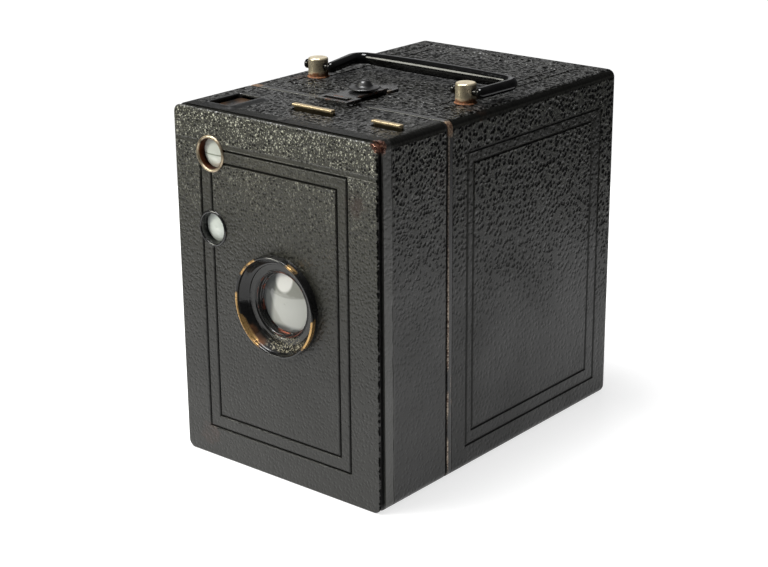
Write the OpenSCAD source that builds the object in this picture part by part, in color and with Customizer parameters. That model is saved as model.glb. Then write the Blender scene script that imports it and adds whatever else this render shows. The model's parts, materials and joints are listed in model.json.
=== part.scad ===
// Box camera for 6 x 9 cm pictures on 120 roll film.
// A leather-covered metal shell with a pull-out front unit that carries the lens,
// two reflecting finders, the shutter and the film carrier.
// Millimetres. Origin at the middle of the base, +Z up, the lens faces -Y.

/* [Body] */
// Width over the leather
body_w = 80; // [76:0.5:100]
// Height over the leather
body_h = 113; // [108:0.5:140]
// Depth over the leather, without the lens hood
body_d = 122; // [116:0.5:150]
// Radius of the long body edges
edge_r = 2.6; // [2:0.1:4]
// Depth of the front unit's box, front face to seam
front_d = 31.1; // [29:0.1:36]
// Open seam between the front unit and the shell's rim
seam_gap = 1.2; // [0.8:0.1:2]
// Thickness of the leather covering
leather_t = 0.6; // [0.4:0.1:1]
// Wall of both metal boxes
wall = 1.2; // [0.8:0.1:1.8]
// Length of the shell's bare metal rim at the seam
rim_len = 2.1; // [1.5:0.1:4]
// Play between the film carrier and the shell
carrier_play = 0.5; // [0.4:0.05:1]

/* [Front plate] */
// Thickness of the front plate's metal
plate_t = 1; // [0.8:0.1:1.5]
// Width of the dark groove behind the front plate
groove_len = 1; // [0.6:0.1:1.6]
// Depth of that groove
groove_in = 1.4; // [0.8:0.1:2]

/* [Lens] */
// Lens axis to the right of the middle plane
lens_x = 1.4; // [-3:0.1:3]
// Lens axis above the base
lens_z = 57.2; // [50:0.1:64]
// Radius of the lens hood's rim
hood_r = 15.7; // [14.5:0.1:17]
// How far the hood stands out of the front face
hood_out = 2.8; // [1.5:0.1:5]
// Radius of the lens element
lens_r = 9.8; // [8:0.1:10.5]
// Outer radius of the lens barrel
barrel_r = 11.2; // [11:0.1:12]

/* [Shutter and stops] */
// Depth of the shutter board behind the front face
board_d = 21; // [20.9:0.1:22]
// Thickness of the shutter board
board_t = 1.2; // [0.8:0.1:1.6]
// Width of the aperture strip
stop_w = 15.6; // [15:0.1:16.4]
// Distance between the three stops
stop_pitch = 9; // [8:0.1:9.5]
// Thickness of both brass strips
strip_t = 0.8; // [0.5:0.1:0.9]
// Middle of the time strip, right of the middle plane
time_x = 30.6; // [28:0.1:31]
// Width of the time strip
time_w = 10.6; // [9:0.1:11]
// Radius of the rotary shutter disc
disc_r = 21; // [20.5:0.1:21.5]
// Distance from the shutter disc's pivot to its window
disc_arm = 14; // [13.5:0.1:14.5]

/* [Finders] */
// Finder lenses, left of the middle plane
finder_x = -25; // [-27:0.1:-24]
// Upper finder lens, below the top
finder_top_drop = 13.4; // [12.5:0.1:15]
// Lower finder lens, below the upper one
finder_step = 23.3; // [22:0.1:26]
// Outer radius of a finder ring
finder_ring_r = 5.7; // [5:0.1:6]
// Long side of a finder window
window_l = 13.6; // [12:0.1:14]
// Short side of a finder window
window_s = 8.9; // [8:0.1:10]

/* [Film] */
// Length of the spool between its outer faces
spool_len = 65.6; // [65:0.1:66]
// Radius of the spool flanges
flange_r = 12.6; // [12:0.1:12.6]
// Radius of the spool core
core_r = 4.6; // [4.2:0.1:6]
// Radius of the bores in the spool's ends
spool_bore_r = 2.5; // [2.2:0.1:3]
// Picture width
frame_w = 57; // [56:0.5:58]
// Picture height
frame_h = 88; // [84:0.5:90]
// Radius of the guide rollers
roller_r = 2.6; // [2.4:0.1:3]
// Running clearance of shafts, on the radius
run_play = 0.05; // [0.02:0.01:0.1]

/* [Handle] */
// Distance of each post from the middle plane
post_x = 29.5; // [27:0.1:31]
// Posts behind the front face
post_d = 54.2; // [50:0.1:62]
// Radius of the posts
post_r = 3.2; // [2.8:0.1:3.6]
// Height of the posts
post_h = 6.2; // [6:0.1:8]
// Radius of the handle wire
wire_r = 1.5; // [1.4:0.05:1.7]
// Reach of the handle from its pivot to the grip
handle_reach = 17.8; // [17:0.1:22]
// Radius of the grip
grip_r = 2.25; // [2:0.05:2.6]
// Sideways splay of the left arm towards the grip
splay_left = 3.8; // [0:0.1:5]
// Sideways splay of the right arm towards the grip
splay_right = 1; // [0:0.1:2]

/* [Latch] */
// Width of the latch loop
loop_w = 12.8; // [11:0.1:15]
// Width of the latch strip
latch_w = 8.4; // [7:0.1:10]
// Thickness of the latch strip
latch_t = 0.8; // [0.6:0.1:1]
// Radius of the latch knob's disc
knob_r = 4.9; // [4:0.1:5.5]

/* [Key] */
// Radius of the key's shaft
key_r = 2; // [1.8:0.05:2.2]
// How far the key is drawn out at rest
key_draw = 9; // [8:0.5:10]

/* [Hidden] */

round_fn = 64;
black_metal = [0.09, 0.09, 0.09];
leather_black = [0.16, 0.16, 0.155];
brass = [0.78, 0.62, 0.36];
nickel = [0.75, 0.72, 0.66];

// Y of a point that lies a distance d behind the front face
function yf(d) = d - body_d / 2;

mid_z = body_h / 2;
shell_y = yf(front_d + seam_gap);
back_y = body_d / 2;
metal_w = body_w - 2 * leather_t;
metal_h = body_h - 2 * leather_t;
inner_w = metal_w - 2 * wall;
inner_h = metal_h - 2 * wall;
inner_back = back_y - leather_t - wall;
top_z = body_h;
box_front_d = leather_t + plate_t + groove_len;
neck_wall = 1.2;
solder_gap = 0.02;
trap_in = leather_t + wall + 0.4;
trap_t = 0.8;

// back window and tripod bush
window_z = 74;
red_r = 5;
red_ring_r = 7.2;
bush_r_out = 7.5;
bush_bore_r = 4;
bush_flange_t = 1.2;
bush_y = 24;

// finders
upper_z = body_h - finder_top_drop;
lower_z = upper_z - finder_step;
finder_glass_r = finder_ring_r - 1.2;
finder_glass_d = 1.6;
window_frame_rim = 2.1;
window_frame_out = 0.9;
window_mid_x = finder_x - 1.4;
window_mid_d = 12.8;
window_glass_t = 1;
mirror_wall = 0.6;
mirror_t = 1;
finder_box_d = leather_t + plate_t + neck_wall + 0.3;
finder_box_len = window_mid_d + window_l / 2 + mirror_wall - finder_box_d;
upper_drop = finder_top_drop - leather_t - wall;
upper_box_w = window_s + 2 * mirror_wall + 1;
upper_box_h = upper_drop + finder_ring_r + 0.4;
lower_drop = finder_x + body_w / 2 - leather_t - wall;
lower_box_w = window_l + 2 * mirror_wall + 0.4;
lower_box_h = lower_drop + finder_ring_r + 0.4;

// lens
hood_tube_r = barrel_r + 2;
hood_tube_d = 2.2;
hood_hole_r = hood_tube_r + 0.1;
lens_seat_d = 6.4;
lens_bulge = 1.2;
lens_edge = 2.8;

// strips
strip_d = 17.2;
slot_play = 0.4;
stop_radii = [4.6, 3.4, 2.4];
strip_out = 1.7;
time_d = 16;
guide_d = strip_d + strip_t + 0.5;
guide_t = 0.5;
barrel_back_d = strip_d - 0.5;
guide_w = stop_w + 2 * 0.35 + 2 * 0.8;
guide_top = body_h - leather_t - wall - 2;
guide_low = lens_z - 28;

// shutter
disc_t = 0.6;
disc_d = board_d - 0.5 - disc_t;
board_hole_r = 5.6;
disc_pivot_z = lens_z - disc_arm;
disc_rest = 55;
pivot_r = 1.2;
disc_pin_len = 0.5 + disc_t + 0.3;
lever_pin_len = disc_pin_len + 2.4;
spring_wire_r = 0.25;
spring_coil_r = 1.9;
lever_pivot_x = -27;
lever_pivot_z = disc_pivot_z + 4;
lever_tip = 5;
lever_slot_h = 13;

// film carrier
carrier_w = inner_w - 2 * carrier_play - 2;
carrier_h = inner_h - 2 * carrier_play - 2;
side_t = 1;
carrier_in = carrier_w / 2 - side_t;
gate_t = 1;
carrier_back_d = body_d - leather_t - wall - 1.2;
gate_d = carrier_back_d - gate_t;
board_back_d = board_d + board_t;
cone_t = 0.8;
cone_front_w = 14;
cone_front_h = 18;
spool_d = board_back_d + 33.8;
spool_off = carrier_h / 2 - flange_r - 0.8;
flange_t = 0.9;
pin_len = 5;
pin_r = spool_bore_r - run_play;
roller_len = 63;
roller_d = gate_d - roller_r - 0.6;
roller_off = carrier_h / 2 - roller_r - 0.4;
journal_r = 1.2;

// depth and height of the spools and of the rollers, upper one first
spool_spots = [[spool_d, mid_z + spool_off], [spool_d, mid_z - spool_off]];
roller_spots = [[roller_d, mid_z + roller_off], [roller_d, mid_z - roller_off]];

// handle
pivot_z = top_z + 3.6;
post_play = 0.35;
arm_right_x = post_x + post_r + wire_r + 0.15 + post_play;
arm_left_x = -post_x + post_r + wire_r + 0.15 + post_play;
grip_left_x = arm_left_x - splay_left;
grip_right_x = arm_right_x + splay_right;
nub = 1.6;
axle_r = wire_r * 0.75;
post_foot_r = 1.6;

// latch
loop_front_d = 26.6;
loop_back_d = 33.2;
loop_bar = 1.4;
loop_z = top_z + 1;
latch_hinge_d = 47;
knob_d = 42;
tail_tip_d = 57.4;
catch_h = 2.2;

// key
key_z = mid_z + spool_off;
key_d = spool_d;
key_sleeve_r = key_r + 1.2;
key_turn_play = 0.3;
key_bush_r = key_sleeve_r + 2.2;
bush_face_x = -body_w / 2 - 0.8;
sleeve_flange = 0.6;
sleeve_face_x = bush_face_x - key_turn_play - sleeve_flange;
sleeve_end_x = -inner_w / 2 + key_turn_play + sleeve_flange;
key_head_x = sleeve_face_x - key_turn_play - key_draw;
key_tip_x = -spool_len / 2 + 4 - key_draw;
key_head = 2.2;

// A rectangle with rounded corners, centred
module rrect(w, h, r) {
    square([w - 2 * r, h], center = true);
    square([w, h - 2 * r], center = true);
    for (sx = [-1, 1], sz = [-1, 1])
        translate([sx * (w / 2 - r), sz * (h / 2 - r)]) circle(r, $fn = round_fn);
}

// Extrudes an XZ outline from depth d0 to depth d1 behind the front face
module prism_d(d0, d1) {
    translate([0, yf(d1), 0]) rotate([90, 0, 0]) linear_extrude(d1 - d0) children();
}

// A body-shaped block, inset from the outer size
module body_prism(inset, d0, d1) {
    prism_d(d0, d1) translate([0, mid_z])
        rrect(body_w - 2 * inset, body_h - 2 * inset, max(edge_r - inset, 0.5));
}

// A round part whose own +Z points out of the front face
module facing_front(x, d, z) {
    translate([x, yf(d), z]) rotate([90, 0, 0]) children();
}

// A round part on an axis along X
module along_x(x, d, z) {
    translate([x, yf(d), z]) rotate([0, 90, 0]) children();
}

// A plain tube
module ring(r_out, r_in, len) {
    rotate_extrude($fn = round_fn) translate([r_in, 0]) square([r_out - r_in, len]);
}

// ---- rear shell ----

// The shell's outline seen along one side, with its two back edges rounded
module back_outline(width, y0, y1, r) {
    translate([-width / 2, y0]) square([width, y1 - y0 - r]);
    translate([-width / 2 + r, y0]) square([width - 2 * r, y1 - y0]);
    for (s = [-1, 1]) translate([s * (width / 2 - r), y1 - r]) circle(r, $fn = round_fn);
}

// Solid of the rear half with rounded long edges and back edges
module rear_block(inset) {
    r = max(edge_r - inset, 0.5);
    intersection() {
        body_prism(inset, front_d + seam_gap, body_d - inset);
        translate([0, 0, -1]) linear_extrude(body_h + 2)
            back_outline(body_w - 2 * inset, shell_y, back_y - inset, r);
        rotate([0, 0, 90]) rotate([90, 0, 0]) translate([0, mid_z, -body_w])
            linear_extrude(2 * body_w) rotate(-90)
                back_outline(body_h - 2 * inset, shell_y, back_y - inset, r);
    }
}

module rear_cavity() {
    translate([-inner_w / 2, shell_y - 1, mid_z - inner_h / 2])
        cube([inner_w, inner_back - shell_y + 1, inner_h]);
}

module post_holes(r) {
    for (s = [-1, 1]) translate([s * post_x, yf(post_d), top_z - 3])
        cylinder(r = r, h = 4, $fn = round_fn);
}

// The five sheets of the shell, a hair apart where they are soldered
module shell_sheets() {
    y0 = shell_y - 1;
    len = inner_back - shell_y + 1;
    for (s = [-1, 1]) {
        translate([-body_w / 2, y0, mid_z + (s > 0 ? inner_h / 2 : -inner_h / 2 - 9)])
            cube([body_w, len, 9]);
        translate([s > 0 ? inner_w / 2 : -inner_w / 2 - 9, y0, mid_z - inner_h / 2 + solder_gap])
            cube([9, len, inner_h - 2 * solder_gap]);
    }
    translate([-body_w / 2, inner_back + solder_gap, 0]) cube([body_w, 9, body_h]);
}

module rear_shell() {
    color(black_metal) difference() {
        intersection() {
            rear_block(leather_t);
            shell_sheets();
        }
        post_holes(post_foot_r);
        facing_front(0, body_d + 1, window_z) cylinder(r = red_r + 0.8, h = 5, $fn = round_fn);
        along_x(-body_w / 2 - 1, key_d, key_z) cylinder(r = key_bush_r - 1, h = 5, $fn = round_fn);
        translate([0, bush_y, -1]) cylinder(r = bush_r_out, h = 4, $fn = round_fn);
    }
}

module shell_rim() {
    color(black_metal) difference() {
        body_prism(0, front_d + seam_gap, front_d + seam_gap + rim_len);
        body_prism(leather_t, front_d, front_d + 10);
    }
}

module leather_skin() {
    difference() {
        rear_block(0);
        rear_block(leather_t);
        rear_cavity();
        body_prism(-1, front_d, front_d + seam_gap + rim_len + 0.1);
        post_holes(post_foot_r);
        along_x(-body_w / 2 - 1, key_d, key_z) cylinder(r = key_bush_r + 0.1, h = 5, $fn = round_fn);
    }
}

module base_zone(play) {
    w = body_w / 2 - edge_r - 2 - play;
    translate([-w, shell_y - 5, -1]) cube([2 * w, back_y - edge_r - shell_y + 5 - play, 3]);
}

module back_zone(play) {
    w = body_w / 2 - edge_r - play;
    translate([-w, back_y - 2, edge_r + play]) cube([2 * w, 4, body_h - 2 * edge_r - 2 * play]);
}

module rear_leather() {
    color(leather_black) difference() {
        leather_skin();
        base_zone(0);
        back_zone(0);
    }
}

module base_leather() {
    color(leather_black) difference() {
        intersection() {
            leather_skin();
            base_zone(0.1);
        }
        translate([0, bush_y, -1]) cylinder(r = bush_r_out + 0.1, h = 4, $fn = round_fn);
    }
}

module back_leather() {
    color(leather_black) difference() {
        intersection() {
            leather_skin();
            back_zone(0.1);
        }
        facing_front(0, body_d + 1, window_z) cylinder(r = red_ring_r + 0.1, h = 5, $fn = round_fn);
    }
}

module red_window_ring() {
    color(black_metal) facing_front(0, body_d + 0.5, window_z) {
        ring(red_ring_r, red_r, 0.5 + leather_t);
        ring(red_r + 0.8, red_r, 0.5 + leather_t + wall);
    }
}

module red_window() {
    color([0.45, 0.03, 0.02, 0.8]) facing_front(0, body_d - leather_t - 0.2, window_z)
        cylinder(r = red_r, h = 0.6, $fn = round_fn);
}

module tripod_bush() {
    color(nickel) translate([0, bush_y, 0]) {
        difference() {
            union() {
                cylinder(r = bush_r_out, h = leather_t + wall, $fn = round_fn);
                translate([0, 0, leather_t + wall])
                    cylinder(r = bush_r_out + 1.5, h = bush_flange_t, $fn = round_fn);
            }
            translate([0, 0, -1]) cylinder(r = bush_bore_r, h = 6, $fn = round_fn);
        }
    }
}

// ---- handle ----

module handle_post(side) {
    color(nickel) translate([side * post_x, yf(post_d), top_z]) difference() {
        union() {
            rotate_extrude($fn = round_fn) {
                square([post_r, post_h - 0.6]);
                translate([0, post_h - 0.6]) square([post_r - 0.6, 0.6]);
                translate([post_r - 0.6, post_h - 0.6]) intersection() {
                    circle(0.6, $fn = 24);
                    square(0.6);
                }
            }
            translate([0, 0, -leather_t - wall]) cylinder(r = post_foot_r, h = 2, $fn = round_fn);
        }
        translate([-post_r - 1, 0, pivot_z - top_z]) rotate([0, 90, 0])
            cylinder(r = wire_r * 0.75 + run_play, h = 2 * post_r + 2, $fn = round_fn);
    }
}

module handle_post_left() {
    handle_post(-1);
}

module handle_post_right() {
    handle_post(1);
}

// A straight rod between two points
module rod(p, q, r) {
    v = q - p;
    len = norm(v);
    tilt = acos(v[2] / len);
    turn = atan2(v[1], v[0]);
    translate(p) rotate([0, tilt, turn]) cylinder(r = r, h = len, $fn = 32);
}

module ball(p, r) {
    translate(p) sphere(r, $fn = 32);
}

module handle_arm(arm_x, grip_x) {
    yp = yf(post_d);
    yg = yp + handle_reach;
    rod([arm_x, yp, pivot_z], [grip_x, yg, pivot_z], wire_r);
    ball([arm_x, yp, pivot_z], wire_r + 0.15);
    ball([grip_x, yg, pivot_z], wire_r + 0.1);
}

module handle_axle(post_side, arm_x) {
    end_x = post_side * post_x - post_r - nub;
    along_x(end_x, post_d, pivot_z) cylinder(r = axle_r, h = arm_x - end_x, $fn = round_fn);
    along_x(end_x, post_d, pivot_z) cylinder(r = wire_r, h = nub - post_play, $fn = round_fn);
}

module handle_wire() {
    yg = yf(post_d) + handle_reach;
    color(black_metal) union() {
        handle_arm(arm_right_x, grip_right_x);
        handle_arm(arm_left_x, grip_left_x);
        handle_axle(1, arm_right_x);
        handle_axle(-1, arm_left_x);
        rod([grip_left_x, yg, pivot_z], [grip_right_x, yg, pivot_z], wire_r);
    }
}

module handle_grip() {
    end_gap = 2.4;
    len = grip_right_x - grip_left_x - 2 * end_gap;
    color(black_metal) translate([grip_left_x + end_gap, yf(post_d) + handle_reach, pivot_z])
        rotate([0, 90, 0]) rotate_extrude($fn = round_fn)
            polygon(concat([[wire_r + 0.01, len], [wire_r + 0.01, 0]], [for (i = [0 : 8])
                [wire_r + 0.2 + (grip_r - wire_r - 0.2) * sin(22.5 * i), len * i / 8]]));
}

// ---- latch ----

module plate_z(x0, x1, d0, d1, z0, z1) {
    translate([x0, yf(d0), z0]) cube([x1 - x0, d1 - d0, z1 - z0]);
}

module latch_strip() {
    z1 = loop_z + latch_t;
    color(black_metal) union() {
        difference() {
            plate_z(-loop_w / 2, loop_w / 2, loop_front_d, loop_back_d, loop_z, z1);
            plate_z(-loop_w / 2 + 1.6, loop_w / 2 - 1.6, loop_front_d + loop_bar,
                loop_back_d - loop_bar, loop_z - 1, z1 + 1);
        }
        plate_z(-latch_w / 2, latch_w / 2, loop_back_d - 0.2, latch_hinge_d - 1.2, loop_z, z1);
        translate([0, yf(latch_hinge_d), loop_z]) rotate([0, 90, 0]) translate([0, 0, -latch_w / 2])
            cylinder(r = 0.9, h = latch_w, $fn = round_fn);
        plate_z(-latch_w / 2, latch_w / 2, latch_hinge_d - 1.4, latch_hinge_d - 0.4, loop_z, z1);
    }
}

module latch_foot() {
    z0 = top_z;
    color(black_metal) difference() {
        translate([0, 0, z0]) linear_extrude(latch_t) polygon([
            [-latch_w / 2, yf(latch_hinge_d + 1.4)], [latch_w / 2, yf(latch_hinge_d + 1.4)],
            [latch_w / 2, yf(tail_tip_d - 4)], [0, yf(tail_tip_d)], [-latch_w / 2, yf(tail_tip_d - 4)]]);
        for (s = [-1, 1]) translate([s * latch_w / 4, yf(latch_hinge_d + 4), z0 + latch_t / 2])
            cylinder(r = 1, h = 1, $fn = round_fn);
    }
}

module latch_knob() {
    color(black_metal) translate([0, yf(knob_d), loop_z + latch_t]) rotate_extrude($fn = round_fn) {
        square([1.8, 0.6]);
        translate([0, 0.6]) square([knob_r, 0.9]);
        polygon([[0, 1.5], [3.4, 1.5], [2.2, 2.6], [2.1, 3.4], [1.6, 3.9], [0, 4]]);
    }
}

module latch_catch() {
    color(black_metal) {
        plate_z(-loop_w / 2 + 2.2, loop_w / 2 - 2.2, loop_front_d + loop_bar + 0.9,
            loop_front_d + loop_bar + 1.9, top_z, top_z + catch_h);
    }
}

// ---- winding key ----

module key_bush() {
    color(nickel) along_x(-body_w / 2 - 0.8, key_d, key_z) {
        ring(key_bush_r, key_sleeve_r + run_play, 0.8 + leather_t);
        ring(key_bush_r - 1, key_sleeve_r + run_play, 0.8 + leather_t + wall);
    }
}

// Turns in the bush, held by a flange on each side of the wall
module key_sleeve() {
    len = sleeve_end_x - sleeve_face_x;
    color(nickel) along_x(sleeve_face_x, key_d, key_z) {
        ring(key_sleeve_r, key_r + run_play, len);
        ring(key_sleeve_r + 0.8, key_r + run_play, sleeve_flange);
        translate([0, 0, len - sleeve_flange]) ring(key_sleeve_r + 0.8, key_r + run_play, sleeve_flange);
    }
}

module key_shaft() {
    color(nickel) along_x(key_head_x - key_head, key_d, key_z) {
        cylinder(r = key_r, h = key_tip_x - key_head_x + key_head, $fn = round_fn);
        cylinder(r = key_sleeve_r + 0.6, h = key_head, $fn = round_fn);
    }
}

module key_wing() {
    lobe_r = 4;
    lobe_x = 4.2;
    lobe_y = 4.6;
    color(nickel) translate([key_head_x - key_head, yf(key_d), key_z]) rotate([0, -90, 0])
        translate([0, 0.7, 0]) rotate([90, 0, 0]) linear_extrude(1.4) difference() {
            union() {
                for (s = [-1, 1]) translate([s * lobe_x, lobe_y]) circle(lobe_r, $fn = round_fn);
                translate([-lobe_x, 0]) square([2 * lobe_x, lobe_y]);
            }
            for (s = [-1, 1]) translate([s * lobe_x, lobe_y]) circle(1.5, $fn = round_fn);
        }
}

// ---- front unit: boxes and covering ----

module finder_holes(r) {
    for (z = [upper_z, lower_z]) facing_front(finder_x, 6, z) cylinder(r = r, h = 8, $fn = round_fn);
}

module front_plate() {
    color(black_metal) difference() {
        body_prism(groove_in - 0.2, leather_t, leather_t + plate_t);
        facing_front(lens_x, 6, lens_z) cylinder(r = hood_hole_r, h = 8, $fn = round_fn);
        finder_holes(finder_glass_r + 0.4);
    }
}

module front_leather() {
    color(leather_black) difference() {
        body_prism(0.2, 0, leather_t);
        facing_front(lens_x, 6, lens_z) cylinder(r = hood_hole_r, h = 8, $fn = round_fn);
        finder_holes(finder_ring_r + 0.05);
    }
}

// Openings in the top of the front unit for the two strips and the finder window
module top_cuts(z0, z1) {
    plate_z(lens_x - stop_w / 2 - slot_play, lens_x + stop_w / 2 + slot_play, strip_d - 1.9,
        strip_d + strip_t + slot_play, z0, z1);
    plate_z(time_x - time_w / 2 - slot_play, time_x + time_w / 2 + slot_play, time_d - 1.6,
        time_d + strip_t + slot_play, z0, z1);
    plate_z(window_mid_x - window_s / 2, window_mid_x + window_s / 2, window_mid_d - window_l / 2,
        window_mid_d + window_l / 2, z0, z1);
}

module side_cuts(x0, x1) {
    translate([x0, yf(window_mid_d - window_s / 2), lower_z - window_l / 2])
        cube([x1 - x0, window_s, window_l]);
    translate([x0, yf(disc_d - 0.7), lever_pivot_z + 3.4 - lever_slot_h])
        cube([x1 - x0, 2, lever_slot_h]);
}

module front_shell() {
    color(black_metal) difference() {
        union() {
            body_prism(groove_in, leather_t + plate_t, box_front_d + 0.2);
            body_prism(leather_t, box_front_d, front_d);
        }
        prism_d(leather_t + plate_t + neck_wall, front_d + 1) translate([0, mid_z])
            square([inner_w, inner_h], center = true);
        facing_front(lens_x, 8, lens_z) cylinder(r = hood_hole_r, h = 10, $fn = round_fn);
        finder_holes(finder_glass_r + 0.4);
        top_cuts(body_h - 5, body_h + 1);
        side_cuts(-body_w / 2 - 1, -body_w / 2 + 4);
    }
}

module front_skin() {
    difference() {
        body_prism(0, box_front_d, front_d);
        body_prism(leather_t, 0, front_d + 1);
        top_cuts(body_h - 5, body_h + 1);
        side_cuts(-body_w / 2 - 1, -body_w / 2 + 4);
    }
}

module front_base_zone(play) {
    w = body_w / 2 - edge_r - 2 - play;
    plate_z(-w, w, 0, front_d + 5, -1, 2);
}

module front_wrap_leather() {
    color(leather_black) difference() {
        front_skin();
        front_base_zone(0);
    }
}

module front_base_leather() {
    color(leather_black) intersection() {
        front_skin();
        front_base_zone(0.1);
    }
}

module light_trap() {
    color(black_metal) difference() {
        union() {
            body_prism(trap_in, front_d - 1, front_d + seam_gap + 4);
            prism_d(front_d - 3, front_d) translate([0, mid_z])
                square([inner_w, inner_h], center = true);
        }
        prism_d(0, front_d + 12) translate([0, mid_z])
            square([body_w - 2 * trap_in - 2 * trap_t, body_h - 2 * trap_in - 2 * trap_t], center = true);
    }
}

// ---- lens ----

module lens_hood() {
    color(black_metal) facing_front(lens_x, 0, lens_z) rotate_extrude($fn = 96) polygon([
        [hood_r + 0.9, 0], [hood_r + 0.9, 0.4], [hood_r - 0.1, 0.7], [hood_r - 0.1, hood_out - 0.6],
        [hood_r, hood_out - 0.2], [hood_r - 0.25, hood_out], [hood_r - 0.65, hood_out],
        [hood_r - 0.9, hood_out - 0.3], [lens_r + 3, -0.5], [lens_r + 2.8, -0.7],
        [lens_r + 0.6, -1.1], [lens_r + 0.6, -hood_tube_d], [hood_tube_r, -hood_tube_d],
        [hood_tube_r, 0]]);
}

module lens_barrel() {
    color(black_metal) facing_front(lens_x, 0, lens_z) rotate_extrude($fn = 96) polygon([
        [barrel_r, -hood_tube_d], [barrel_r, -barrel_back_d + 1], [barrel_r + 3, -barrel_back_d + 1],
        [barrel_r + 3, -barrel_back_d], [6, -barrel_back_d], [6, -barrel_back_d + 1],
        [lens_r - 0.6, -barrel_back_d + 1], [lens_r - 0.6, -lens_seat_d], [lens_r, -lens_seat_d],
        [lens_r, -hood_tube_d]]);
}

module lens_ring() {
    color([0.25, 0.2, 0.2]) facing_front(lens_x, hood_tube_d, lens_z)
        ring(lens_r + 0.55, lens_r - 0.6, 1.2);
}

module front_lens() {
    r = lens_r - 0.02;
    curve_r = (r * r + lens_bulge * lens_bulge) / (2 * lens_bulge);
    span = asin(r / curve_r);
    color([0.7, 0.75, 0.78, 0.4]) facing_front(lens_x, lens_seat_d, lens_z) rotate_extrude($fn = 96)
        polygon(concat([[0, 0.8], [r - 2, 0], [r, 0]], [for (i = [0 : 6])
            [curve_r * sin(span * (1 - i / 6)),
             lens_edge + curve_r * (cos(span * (1 - i / 6)) - cos(span))]]));
}

// ---- finders ----

module finder_ring(z) {
    color(black_metal) facing_front(finder_x, 0, z) rotate_extrude($fn = round_fn) polygon([
        [finder_ring_r, -leather_t], [finder_ring_r, 0.5], [finder_ring_r - 0.4, 0.9],
        [finder_ring_r - 0.9, 0.8], [finder_glass_r + 0.1, 0], [finder_glass_r + 0.1, -leather_t]]);
}

module upper_finder_ring() {
    finder_ring(upper_z);
}

module lower_finder_ring() {
    finder_ring(lower_z);
}

module finder_lens(z) {
    r = finder_glass_r + 0.3;
    color([0.7, 0.75, 0.78, 0.4]) facing_front(finder_x, finder_glass_d + 1.1, z)
        rotate_extrude($fn = round_fn) polygon(concat([[0, 0], [r, 0]],
            [for (i = [0 : 5]) [r * cos(15 * i + 15) / cos(15),
                0.3 + 1.4 * sin(15 * i + 15) - 1.4 * sin(15)]]));
}

module upper_finder_lens() {
    finder_lens(upper_z);
}

module lower_finder_lens() {
    finder_lens(lower_z);
}

// A mirror at 45 degrees that turns the view from the lens up to the window
module finder_mirror(width, height, drop) {
    y_top = finder_box_len - mirror_wall - 0.1;
    z_top = y_top - (window_mid_d - finder_box_d) - drop;
    fall = min(z_top + height - mirror_wall - 0.1, y_top - mirror_wall - mirror_t);
    translate([-width / 2, y_top, z_top]) rotate([-45, 0, 0])
        translate([0, -mirror_t, -fall * sqrt(2)]) cube([width, mirror_t, fall * sqrt(2)]);
}

module place_upper() {
    translate([window_mid_x, yf(finder_box_d), body_h - leather_t - wall]) children();
}

module place_lower() {
    translate([-body_w / 2 + leather_t + wall, yf(finder_box_d), lower_z])
        rotate([0, -90, 0]) children();
}

// The sheet-metal box behind a finder lens, drawn with its window on +Z
module mirror_box(width, height, lens_off, lens_drop) {
    difference() {
        translate([-width / 2, 0, -height]) cube([width, finder_box_len, height]);
        translate([-width / 2 + mirror_wall, mirror_wall, -height + mirror_wall])
            cube([width - 2 * mirror_wall, finder_box_len - 2 * mirror_wall, height]);
        translate([lens_off, mirror_wall + 1, -lens_drop]) rotate([90, 0, 0])
            cylinder(r = finder_glass_r - 0.6, h = 4, $fn = round_fn);
    }
}

module upper_mirror_box() {
    color(black_metal) place_upper()
        mirror_box(upper_box_w, upper_box_h, finder_x - window_mid_x, upper_drop);
}

module upper_mirror() {
    color([0.85, 0.87, 0.88]) place_upper()
        finder_mirror(window_s - 0.4, upper_box_h, upper_drop);
}

module lower_mirror_box() {
    color(black_metal) place_lower() mirror_box(lower_box_w, lower_box_h, 0, lower_drop);
}

module lower_mirror() {
    color([0.85, 0.87, 0.88]) place_lower()
        finder_mirror(window_l - 1, lower_box_h, lower_drop);
}

module window_frame_top_shape() {
    w = window_s + 2 * window_frame_rim;
    l = window_l + 2 * window_frame_rim;
    difference() {
        translate([0, 0, 0]) linear_extrude(window_frame_out) rrect(w, l, 1.2);
        translate([0, 0, -1]) linear_extrude(window_frame_out + 2) rrect(window_s, window_l, 0.6);
    }
}

module top_window_frame() {
    color(black_metal) translate([window_mid_x, yf(window_mid_d), body_h]) window_frame_top_shape();
}

module side_window_frame() {
    color(black_metal) translate([-body_w / 2, yf(window_mid_d), lower_z])
        rotate([0, -90, 0]) rotate([0, 0, 90]) window_frame_top_shape();
}

module top_window() {
    color([0.6, 0.65, 0.65, 0.5])
        plate_z(window_mid_x - window_s / 2 + 0.05, window_mid_x + window_s / 2 - 0.05,
            window_mid_d - window_l / 2 + 0.05, window_mid_d + window_l / 2 - 0.05,
            body_h - leather_t - wall, body_h - leather_t - wall + window_glass_t);
}

module side_window() {
    color([0.6, 0.65, 0.65, 0.5])
        translate([-body_w / 2 + leather_t + wall - window_glass_t, yf(window_mid_d - window_s / 2 + 0.05),
            lower_z - window_l / 2 + 0.05]) cube([window_glass_t, window_s - 0.1, window_l - 0.1]);
}

// ---- stops and shutter ----

module aperture_guide() {
    color(black_metal) difference() {
        union() {
            translate([lens_x - guide_w / 2, yf(guide_d), guide_low])
                cube([guide_w, guide_t, guide_top - guide_low]);
            for (s = [-1, 1])
                translate([lens_x + s * (guide_w / 2 - 0.4) - 0.4, yf(barrel_back_d), guide_low])
                    cube([0.8, guide_d - barrel_back_d + guide_t, guide_top - guide_low]);
        }
        facing_front(lens_x, guide_d + 2, lens_z) cylinder(r = 5.6, h = 6, $fn = round_fn);
    }
}

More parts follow.
